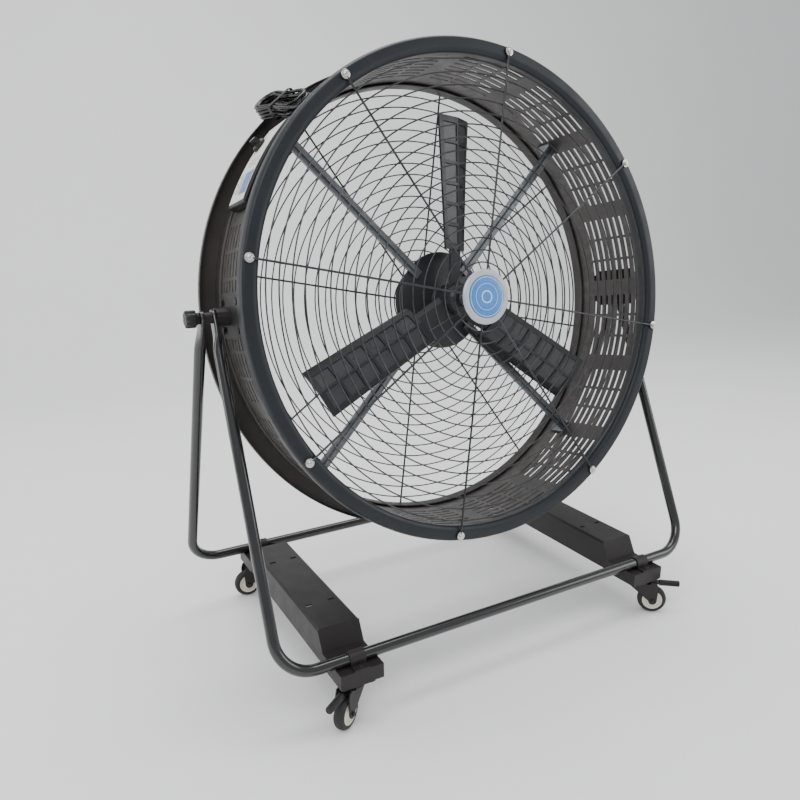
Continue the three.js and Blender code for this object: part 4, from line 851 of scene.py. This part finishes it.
def make_stand():
    frame_tube("front", FRONT_TUBE_HALF_WIDTH, -1)
    frame_tube("rear", REAR_TUBE_HALF_WIDTH, 1)
    for side in ("left", "right"):
        dress(f"{side}_base_rail", "rail_satin", 0.0016)
        for end in ("front", "rear"):
            dress(f"{end}_{side}_clamp", "rail_satin", 0.0007)
            dress(f"{end}_{side}_caster_plate", "rail_satin", 0.0005)
        dress(f"{side}_pivot_spacer", "rail_satin", 0.0005)


# ---- casters

TYRE_HALF_WIDTH = 0.012
TREAD_INSET = 0.0003  # keeps the round tyre inside the faceted one
SLEEVE_RADIUS = 0.0083
SLEEVE_GROOVE = 0.0075
SLEEVE_RIBS = 9


def make_caster(name, x, y, trail, brake):
    """Cream wheel with a black tyre, in the fork that the CAD gives."""
    spin = Matrix.Translation((x, y, 0)) @ Matrix.Rotation(math.radians(trail), 4, "Z")
    wheel = spin @ Matrix.Translation((CASTER_TRAIL, 0, WHEEL_RADIUS))
    body = f"{name}_wheel"
    half = TYRE_HALF_WIDTH
    tread = WHEEL_RADIUS - TREAD_INSET
    tyre = rounded([(0.0263, -half), (0.0325, -half, 0.002), (tread, -half + 0.006, 0.006),
                    (tread, half - 0.006, 0.006), (0.0325, half, 0.002), (0.0263, half)], 0.001, 5)
    add(f"{name}_tyre_ring", *lathe(tyre, 56), "tyre_rubber", body, [f"{name}_tyre"], wheel)
    face = [(0.0053, 0.0135), (0.012, 0.0135, 0.001), (0.0135, 0.009, 0.002), (0.021, 0.0075, 0.002),
            (0.0225, half, 0.0012), (0.026, half)]
    rim = [(radius, -along, *corner) for radius, along, *corner in face] + face[::-1]
    centre = lathe(rounded(rim, 0.0006, 3), 56)
    add(f"{name}_wheel_centre", *centre, "rim_cream", body, [f"{name}_rim"], wheel)
    dress(f"{name}_caster_fork", "rail_satin", 0.0006)
    if brake:
        make_pedal(name, spin)


def make_pedal(name, spin):
    """Brake lever: a flat arm under a ribbed black sleeve."""
    height, sleeve_start, sleeve_length = 0.0854, CASTER_TRAIL + 0.016, 0.052
    profile = [(0, 0), (0.0074, 0), (SLEEVE_RADIUS, 0.001)]
    for i in range(SLEEVE_RIBS):
        at = 0.003 + i * 0.0052
        profile += [(SLEEVE_RADIUS, at), (SLEEVE_GROOVE, at + 0.0008),
                    (SLEEVE_GROOVE, at + 0.0022), (SLEEVE_RADIUS, at + 0.003)]
    profile += [(SLEEVE_RADIUS, sleeve_length - 0.0025), (0.0066, sleeve_length), (0, sleeve_length)]
    lay = Matrix.Translation((sleeve_start, 0, height)) @ Matrix.Rotation(-math.pi / 2, 4, "Z")
    whole = Parts().include(*lathe(profile, 26), lay)
    arm = rounded([(CASTER_TRAIL - 0.006, -0.011), (CASTER_TRAIL + 0.034, -0.0075),
                   (CASTER_TRAIL + 0.034, 0.0075), (CASTER_TRAIL - 0.006, 0.011)], 0.003, 3)
    whole.include(*prism(arm, height - 0.002, height + 0.002))
    pin = [(CASTER_TRAIL, across, height) for across in (-0.0142, 0, 0.0142)]
    whole.include(*tube(pin, 0.0025, 12))
    add(f"{name}_brake_lever", *whole, "black_plastic", f"{name}_brake",
        [f"{name}_brake_pedal"], spin)


# ---- drum wall

VENT_GROUPS = 16
VENT_COLUMNS = 3
VENT_ROWS = 8
VENT_FIRST = 0.046
VENT_PITCH = 0.0215
VENT_WIDTH = 0.0085
VENT_BRIDGE = 2.3  # plain wall at each end of a group of slits, in degrees
VENT_BAR = 0.75  # plain wall between two slits side by side, in degrees
VENT_STEPS = 3
WALL_END = 0.0123  # how far in from the drum's ends the wall starts
WALL_OUTER_INSET = 0.0006
WALL_INNER_INSET = 0.0042
HOOP_DEPTHS = (0.0385, 0.222)
HOOP_HALF_WIDTH = 0.0035
HOOP_HEIGHT = 0.005


def drum_grid():
    """Angles and depths of the wall's grid, and which cells are open slits."""
    group = 360 / VENT_GROUPS
    slit = (group - 2 * VENT_BRIDGE - (VENT_COLUMNS - 1) * VENT_BAR) / VENT_COLUMNS
    slits = [(slit, True, VENT_STEPS), (VENT_BAR, False, 1)] * VENT_COLUMNS
    cells = [(VENT_BRIDGE, False, 1)] + slits[:-1] + [(VENT_BRIDGE, False, 1)]
    angles, open_angle = [], []
    for g in range(VENT_GROUPS):
        at = g * group
        for width, is_open, steps in cells:
            for k in range(steps):
                angles.append(at + width * k / steps)
                open_angle.append(is_open)
            at += width
    depths, open_depth = [WALL_END], []
    for row in range(VENT_ROWS):
        start = VENT_FIRST + row * VENT_PITCH
        open_depth += [False, True]
        depths += [start, start + VENT_WIDTH]
    open_depth.append(False)
    depths.append(DRUM_DEPTH - WALL_END)
    return angles, open_angle, depths, open_depth


def make_shell():
    """Moulded wall with three columns of slits in each panel and plain bridges between the panels."""
    angles, open_angle, depths, open_depth = drum_grid()
    radii = (SHELL_RADIUS - WALL_OUTER_INSET, SHELL_RADIUS - WALL_INNER_INSET)
    columns, rows = len(angles), len(depths)
    verts = [on_drum(radius, angle, depth) for radius in radii for angle in angles for depth in depths]

    def index(layer, column, row):
        return layer * columns * rows + column % columns * rows + row

    def is_open(column, row):
        return 0 <= row < rows - 1 and open_angle[column % columns] and open_depth[row]

    faces = []
    for c in range(columns):
        for r in range(rows - 1):
            if is_open(c, r):
                continue
            corners = ((c, r), (c + 1, r), (c + 1, r + 1), (c, r + 1))
            faces.append(tuple(index(0, *corner) for corner in corners))
            faces.append(tuple(index(1, *corner) for corner in reversed(corners)))
            neighbours = ((c, r - 1), (c + 1, r), (c, r + 1), (c - 1, r))
            for k, (column, row) in enumerate(neighbours):
                if is_open(column, row) or not 0 <= row < rows - 1:
                    a, b = corners[k], corners[(k + 1) % 4]
                    faces.append((index(0, *a), index(1, *a), index(1, *b), index(0, *b)))
    add("drum_wall", verts, faces, "shell_plastic", "drum", ["drum_shell"], TO_DRUM, smooth=40)


def make_wall_hoops():
    """Two hoops round the wall, a little proud of it."""
    whole = Parts()
    low = SHELL_RADIUS - 0.0007
    high = low + HOOP_HEIGHT
    for depth in HOOP_DEPTHS:
        front, rear = depth - HOOP_HALF_WIDTH, depth + HOOP_HALF_WIDTH
        hoop = [(low, front), (high, front + 0.001), (high, rear - 0.001), (low, rear)]
        whole.include(*lathe(rounded(hoop, 0.0012, 3), RING_SIDES))
    add("drum_wall_hoops", *whole, "shell_plastic", "drum", matrix=TO_DRUM)


def ring_profile(outer):
    """Rim in section, [radius, depth behind its bolt face]: rolled outer edge, flat bolt face, inner lip."""
    inside = outer - 0.003
    return rounded([
        (outer, RING_SKIRT, 0.0008), (outer, 0.010, 0.009), (BOLT_CIRCLE + 0.010, 0.0003, 0.006),
        (BOLT_CIRCLE - 0.013, 0.0003, 0.006), (OPENING_RADIUS, 0.006, 0.006), (0.5415, 0.034, 0.001),
        (0.5445, 0.034, 0.001), (0.5447, 0.012, 0.001), (inside, 0.012, 0.002), (inside, RING_SKIRT, 0.0008),
    ], 0.001, 5)


def make_rings():
    front_rim, rear_rim = ring_profile(FRONT_RING_RADIUS), ring_profile(REAR_RING_RADIUS)
    add("front_rim", *lathe(front_rim, RING_SIDES), "ring_plastic", "drum", ["front_ring"], TO_DRUM)
    add("rear_rim", *lathe(rear_rim, RING_SIDES), "shell_plastic", "drum", ["rear_ring"], TO_DRUM_REAR)


# ---- guards

GRILLE_RINGS = 17
GRILLE_OUTER = 0.525
GRILLE_INNER = 0.080
WIRE_RADIUS = 0.0017
SPOKE_RADIUS = 0.0024
SPOKES = 8
SPOKE_AT = -0.0026
SPOKE_START = 0.044
SPOKE_SHORT = 0.006  # a spoke ends this far short of its bolt
SPOKE_STEPS = 6
WELD_SHARE = 0.7  # how far a ring wire stands off its spokes, as a share of its radius
WIRE_STEPS_PER_METRE = 260


def make_guard(name, matrix, start, replaced):
    """Ring wires welded behind straight spokes with flat eyelets, a hub plate and bolts."""
    wires, bolts = Parts(), Parts()
    wire_at = SPOKE_AT + SPOKE_RADIUS + WIRE_RADIUS * WELD_SHARE
    for i in range(GRILLE_RINGS):
        radius = GRILLE_INNER + i * (GRILLE_OUTER - GRILLE_INNER) / (GRILLE_RINGS - 1)
        steps = max(48, int(radius * WIRE_STEPS_PER_METRE))
        points = [on_drum(radius, 360 * k / steps, wire_at) for k in range(steps)]
        wires.include(*tube(points, WIRE_RADIUS, 8, closed=True))
    front, back = SPOKE_AT - 0.0015, SPOKE_AT + 0.0015
    hub_plate = [(0, front), (0.050, front), (0.050, back), (0, back)]
    wires.include(*lathe(rounded(hub_plate, 0.0008, 2), 48))
    eyelet = [(0.0066, -0.0028), (0.0108, -0.0028), (0.0108, -0.0005), (0.0066, -0.0005)]
    bolt = [(0, -0.0008), (0.0085, -0.0030), (0.0098, -0.0030), (0.0098, -0.0044), (0.0062, -0.0046),
            (0.0058, -0.0080), (0.0036, -0.0094), (0, -0.0098)]
    step = (BOLT_CIRCLE - SPOKE_SHORT - SPOKE_START) / SPOKE_STEPS
    points = [(SPOKE_START + step * i, SPOKE_AT, 0) for i in range(SPOKE_STEPS + 1)]
    for k in range(SPOKES):
        spin = turned(start + 360 / SPOKES * k)
        wires.include(*tube(points, SPOKE_RADIUS, 10), spin)
        at = spin @ Matrix.Translation((BOLT_CIRCLE, 0, 0))
        wires.include(*lathe(rounded(eyelet, 0.0007, 2), 28), at)
        bolts.include(*lathe(rounded(bolt, 0.0008, 3), 28), at)
    add(f"{name}_guard", *wires, "wire_dark", "drum", replaced, matrix)
    add(f"{name}_guard_bolts", *bolts, "zinc_bolt", "drum", matrix=matrix)


def make_badge():
    """Round grey plate with a blue disc and three raised rings."""
    back, front = -0.0053, -0.0110
    plate = rounded([(0, back), (0.064, back), (0.064, front + 0.003, 0.003), (0.060, front, 0.002),
                     (0.050, front + 0.0003), (0.0485, front + 0.0022), (0, front + 0.0022)], 0.0006, 4)
    add("badge_face", *lathe(plate, 96), "badge_grey", "drum", ["badge_plate"], TO_DRUM)
    disc = rounded([(0, front + 0.0020), (0.0478, front + 0.0020), (0.0478, front - 0.0002, 0.001),
                    (0.030, front - 0.0004), (0, front - 0.0006)], 0.0006, 4)
    add("badge_inlay", *lathe(disc, 96), "badge_blue", "drum", ["badge_disc"], TO_DRUM)
    lines = Parts()
    for radius, width in ((0.0445, 0.0012), (0.0300, 0.0010), (0.0120, 0.0030)):
        lines.include(*lathe([(radius, front - 0.0002), (radius + width, front - 0.0002),
                              (radius + width, front - 0.0009), (radius, front - 0.0009)], 96))
    add("badge_lines", *lines, "badge_light", "drum", matrix=TO_DRUM)


# ---- rotor and motor

BLADE_DEPTH = 0.116
BLADE_ROOT = 0.118
BLADE_TIP = 0.430
BLADE_CHORD = 0.122
BLADE_THICKNESS = 0.005
BLADE_FOLDS = ((-0.5, -0.003), (-0.35, 0.0065), (0.02, 0.0105), (0.5, -0.003))
POCKET_ROWS = 6
POCKET_COLUMNS = ((-0.325, -0.005), (0.045, 0.40))
POCKET_DEPTH = 0.0034
POCKET_SLOPE = 0.0009
POCKET_FRAME = 0.0035
POCKETS_START = 0.011  # margin between the pockets and the blade's ends
BLADES = 3
FIRST_BLADE_ANGLE = 86
ROOT_PITCH = 34
TIP_PITCH = 22
ROOT_WIDTH_SHARE = 0.88
EDGE_SHARE = 0.49
EDGE_LOOP = 0.005
MOTOR_FRONT = 0.1823
MOTOR_FINS = 11


def blade_frame(radius):
    """How wide the blade is at a radius, as a share, and its chord and normal directions."""
    along = (radius - BLADE_ROOT) / (BLADE_TIP - BLADE_ROOT)
    pitch = math.radians(ROOT_PITCH + (TIP_PITCH - ROOT_PITCH) * along)
    chord = Vector((0, -math.sin(pitch), math.cos(pitch)))
    normal = Vector((0, -math.cos(pitch), -math.sin(pitch)))
    return ROOT_WIDTH_SHARE + (1 - ROOT_WIDTH_SHARE) * along, chord, normal


def blade_height(chord):
    """Height over the chord line: a steep leading facet, then a long one and a falling one."""
    share = chord / BLADE_CHORD
    for (start, low), (end, high) in zip(BLADE_FOLDS, BLADE_FOLDS[1:]):
        if share <= end + TINY:
            return low + (high - low) * (share - start) / (end - start)
    return BLADE_FOLDS[-1][1]


def pocket_grid():
    """The blade's rows along the span and columns across it, and the lines that its mesh needs."""
    columns = [(a * BLADE_CHORD, b * BLADE_CHORD) for a, b in POCKET_COLUMNS]
    pitch = (BLADE_TIP - BLADE_ROOT - 2 * POCKETS_START) / POCKET_ROWS
    lows = [BLADE_ROOT + POCKETS_START + row * pitch + POCKET_FRAME for row in range(POCKET_ROWS)]
    rows = [(low, low + pitch - 2 * POCKET_FRAME) for low in lows]
    chords = {share * BLADE_CHORD for share, _ in BLADE_FOLDS}
    chords |= {-EDGE_SHARE * BLADE_CHORD, EDGE_SHARE * BLADE_CHORD}
    for a, b in columns:
        chords |= {a, a + POCKET_SLOPE, b - POCKET_SLOPE, b}
    radii = [BLADE_ROOT, BLADE_ROOT + EDGE_LOOP]
    for low, high in rows:
        radii += [low, low + POCKET_SLOPE, high - POCKET_SLOPE, high]
    radii += [BLADE_TIP - EDGE_LOOP, BLADE_TIP]
    return rows, columns, radii, sorted(chords)


def make_blade(index, angle):
    """Thick moulded blade: a front face with two columns of framed pockets, and a plain back."""
    pocket_rows, pocket_columns, radii, chords = pocket_grid()
    slack = POCKET_SLOPE / 2

    def sunk(radius, chord):
        in_row = any(low + slack < radius < high - slack for low, high in pocket_rows)
        return in_row and any(a + slack < chord < b - slack for a, b in pocket_columns)

    def place(radius, chord, down):
        width, chord_way, normal_way = blade_frame(radius)
        return (Vector((radius, BLADE_DEPTH, 0)) + chord_way * chord * width
                + normal_way * (blade_height(chord) - down))

    verts = [place(radius, chord, POCKET_DEPTH if sunk(radius, chord) else 0.0)
             for radius in radii for chord in chords]
    verts += [place(radius, chord, BLADE_THICKNESS) for radius in radii for chord in chords]
    rows, columns = len(radii), len(chords)

    def at(layer, i, j):
        return (layer * rows + i) * columns + j

    faces = []
    for i in range(rows - 1):
        for j in range(columns - 1):
            faces.append((at(0, i, j), at(0, i + 1, j), at(0, i + 1, j + 1), at(0, i, j + 1)))
            faces.append((at(1, i, j), at(1, i, j + 1), at(1, i + 1, j + 1), at(1, i + 1, j)))
    for i in range(rows - 1):
        for j in (0, columns - 1):
            faces.append((at(0, i, j), at(0, i + 1, j), at(1, i + 1, j), at(1, i, j)))
    for j in range(columns - 1):
        for i in (0, rows - 1):
            faces.append((at(0, i, j), at(0, i, j + 1), at(1, i, j + 1), at(1, i, j)))
    lay = TO_DRUM @ turned(angle)
    blade = add(f"blade_{index}", verts, faces, "blade_plastic", "rotor", [f"fan_blade_{index}"],
                lay, bevel=0.0006, smooth=30)
    # The pocket floors get the lighter finish, a painted reflection; only their lower roughness is real
    blade.data.materials.append(FINISH["blade_recess"])
    back = lay.inverted()
    for polygon in blade.data.polygons:
        middle = back @ polygon.center
        width, chord_way, normal_way = blade_frame(middle.x)
        offset = middle - Vector((middle.x, BLADE_DEPTH, 0))
        chord = offset.dot(chord_way) / width
        from_floor = abs(offset.dot(normal_way) - (blade_height(chord) - POCKET_DEPTH))
        if from_floor < 0.0002 and sunk(middle.x, chord):
            polygon.material_index = 1


def make_rotor():
    for index in range(BLADES):
        make_blade(index + 1, FIRST_BLADE_ANGLE + 360 / BLADES * index)
    dress("fan_hub", "motor_paint", 0.0012, 40)
    shaft = rounded([(0, 0.068), (0.0078, 0.068), (0.008, 0.0747), (0.0165, 0.0747), (0.0165, 0.0835),
                     (0.0098, 0.0835), (0.0098, 0.168), (0, 0.168)], 0.0008, 3)
    add("drive_shaft", *lathe(shaft, 32), "galvanised", "rotor", ["rotor_shaft"], TO_DRUM)


def make_motor():
    """Finned motor case with a wide front flange and a domed back, on the four struts."""
    front = MOTOR_FRONT
    profile = [(0, front - 0.014), (0.022, front - 0.014, 0.003), (0.030, front - 0.0005, 0.002),
               (0.121, front, 0.002), (0.121, front + 0.006, 0.002), (0.090, front + 0.008, 0.003)]
    for i in range(MOTOR_FINS):
        at = front + 0.013 + i * 0.0052
        profile += [(0.0885, at, 0.0006), (0.0975, at + 0.0008, 0.0006), (0.0975, at + 0.0026, 0.0006),
                    (0.0885, at + 0.0034, 0.0006)]
    profile += [(0.086, front + 0.073, 0.003), (0.076, front + 0.080, 0.006), (0.052, front + 0.0878, 0.004),
                (0, front + 0.0879)]
    case = lathe(rounded(profile, 0.001, 2), 96)
    add("motor_case", *case, "motor_paint", "drum", ["motor_housing"], TO_DRUM)
    for name in ("upper_right", "upper_left", "lower_left", "lower_right"):
        dress(f"motor_strut_{name}", "galvanised", 0.0008)


# ---- pivots and controls

KNOB_INNER = 0.6198
KNOB_OUTER = 0.6496
KNOB_RADIUS = 0.0186
KNOB_LOBES = 6
LOBE_DEPTH = 0.0034
LOBE_STEPS = 10
# Distance from the middle of the fan and share of the knob's full size.
KNOB_SECTIONS = (
    (KNOB_INNER + 0.007, 0.90), (KNOB_INNER + 0.0085, 0.985), (KNOB_INNER + 0.010, 1.0),
    (KNOB_OUTER - 0.004, 1.0), (KNOB_OUTER - 0.0012, 0.96), (KNOB_OUTER, 0.88),
)
PATCH_STEPS = 24
BOX_END = 156.5
BOX_SEAT = SHELL_RADIUS + GAP
PANEL_SEAT = BOX_SEAT + BOX_HEIGHT + GAP
PANEL_FACE = PANEL_SEAT + 0.0012
SWITCH_ANGLE = 141.5
SWITCH_DEPTH = 0.160
DIAL_MARKS = 7
DIAL_RADIUS = 0.0210


def knob_outline():
    """The lobed outline of a hand knob."""
    points = []
    for k in range(KNOB_LOBES * LOBE_STEPS):
        angle = 2 * math.pi * k / (KNOB_LOBES * LOBE_STEPS)
        radius = KNOB_RADIUS - LOBE_DEPTH * (0.5 + 0.5 * math.cos(KNOB_LOBES * angle)) ** 3
        points.append((radius * math.cos(angle), radius * math.sin(angle)))
    return points


def make_pivots():
    """Pivot brackets and the lobed knobs that clamp the tilt."""
    outline = knob_outline()
    count = len(outline)
    skirt = rounded([(0.0066, KNOB_INNER), (0.012, KNOB_INNER), (0.013, KNOB_INNER + 0.008),
                     (0.0066, KNOB_INNER + 0.008)], 0.0008, 3)
    for side, word in ((-1, "left"), (1, "right")):
        dress(f"{word}_pivot_bracket", "rail_satin", 0.0009)
        verts = [(side * x, a * size, b * size) for x, size in KNOB_SECTIONS for a, b in outline]
        faces = [(low + k, low + (k + 1) % count, low + count + (k + 1) % count, low + count + k)
                 for low in range(0, len(verts) - count, count) for k in range(count)]
        faces += [tuple(range(count)), tuple(range(len(verts) - count, len(verts)))]
        whole = Parts().include(verts, faces)
        whole.include(*lathe(skirt, 40), Matrix.Rotation(-side * math.pi / 2, 4, "Z"))
        add(f"{word}_clamp_knob", *whole, "black_plastic", f"{word}_knob", [f"{word}_tilt_knob"],
            Matrix.Translation((0, 0, PIVOT_HEIGHT)))


def wall_patch(inner, outer, front, rear, start, end, steps=PATCH_STEPS):
    """A slab that follows the drum wall between two angles."""
    verts = []
    for radius in (outer, inner):
        for i in range(steps + 1):
            angle = start + (end - start) * i / steps
            verts += [on_drum(radius, angle, front), on_drum(radius, angle, rear)]
    n = 2 * (steps + 1)
    faces = [(0, 1, n + 1, n), (n - 2, n - 1, 2 * n - 1, 2 * n - 2)]
    for i in range(steps):
        a = 2 * i
        faces += [(a, a + 2, a + 3, a + 1), (n + a, n + a + 1, n + a + 3, n + a + 2),
                  (a, n + a, n + a + 2, a + 2), (a + 1, a + 3, n + a + 3, n + a + 1)]
    return verts, faces


def make_controls():
    """Switch box on the wall, its white panel with plain marks, and the speed switch."""
    add("switch_box", *wall_patch(BOX_SEAT, BOX_SEAT + BOX_HEIGHT, 0.080, 0.194, BOX_START, BOX_END),
        "black_plastic", "drum", ["control_box"], TO_DRUM, bevel=0.003)
    add("panel_face", *wall_patch(PANEL_SEAT, PANEL_FACE, 0.087, 0.187, 136.2, 155.8),
        "panel_white", "drum", ["control_panel_plate"], TO_DRUM, bevel=0.0006)
    low = PANEL_FACE + 0.00005
    add("panel_lower_field", *wall_patch(low, PANEL_FACE + 0.0004, 0.089, 0.136, 149.0, 154.2),
        "panel_blue", "drum", matrix=TO_DRUM)
    marks = Parts()
    high = PANEL_FACE + 0.0003
    for row in range(8):
        start = 149.0 + row * 0.62
        marks.include(*wall_patch(low, high, 0.140, 0.182 - 0.010 * (row % 3), start, start + 0.24, 4))
    for row in range(3):
        start = 145.6 + row * 0.8
        marks.include(*wall_patch(low, high, 0.096, 0.150 + 0.012 * (row % 2), start, start + 0.2, 4))
    centre = on_drum(PANEL_FACE + 0.0002, SWITCH_ANGLE, SWITCH_DEPTH)
    out = on_drum(1, SWITCH_ANGLE, 0)
    around = on_drum(1, SWITCH_ANGLE + 90, 0)
    for k in range(DIAL_MARKS):
        angle = math.radians(-120 + 40 * k)
        away = Vector((0, math.cos(angle), 0)) + around * math.sin(angle)
        aside = Vector((0, -math.sin(angle), 0)) + around * math.cos(angle)
        turn = Matrix((away, aside, out)).transposed().to_4x4()
        marks.include(*block(0.005, 0.0012, 0.0004), Matrix.Translation(centre + away * DIAL_RADIUS) @ turn)
    add("panel_marks", *marks, "panel_grey", "drum", matrix=TO_DRUM)
    make_switch(PANEL_SEAT + 0.0016)


def make_switch(seat):
    """Rotary switch: a round skirt with a raised grip bar and a pointer line."""
    skirt = [(0, 0), (0.0168, 0), (0.0168, 0.005), (0.0140, 0.0085), (0, 0.0085)]
    whole = Parts().include(*lathe(rounded(skirt, 0.0012, 4), 56))
    grip = rounded([(-0.0155, -0.0042), (0.0155, -0.0042), (0.0155, 0.0042), (-0.0155, 0.0042)], 0.0035, 4)
    whole.include(*prism(grip, 0.007, 0.0215, "Y"))
    lay = (TO_DRUM @ turned(SWITCH_ANGLE) @ Matrix.Translation((seat, SWITCH_DEPTH, 0))
           @ Matrix.Rotation(-math.pi / 2, 4, "Z"))
    add("speed_knob", *whole, "black_plastic", "speed_switch", ["speed_switch_knob"], lay,
        bevel=0.0008)
    pointer = [(0.004, -0.0007), (0.0148, -0.0007), (0.0148, 0.0007), (0.004, 0.0007)]
    add("speed_knob_pointer", *prism(pointer, 0.0214, 0.0218, "Y"), "panel_white", "speed_switch", matrix=lay)


# ---- the scene

make_camera()
make_finishes()
make_cord()
make_studio()
make_stand()
for caster_name, facts in CASTERS.items():
    make_caster(caster_name, *facts)
make_shell()
make_wall_hoops()
make_rings()
make_guard("front", TO_DRUM, BOLT_START, ["front_grille"])
make_guard("rear", TO_DRUM_REAR, -BOLT_START, ["rear_grille"])
make_badge()
make_rotor()
make_motor()
make_pivots()
make_controls()

with open("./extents.json", "w") as size_file:
    json.dump({"cad": [list(corner) for corner in CAD_BOX],
               "visual": [list(corner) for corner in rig.bounds()]}, size_file)
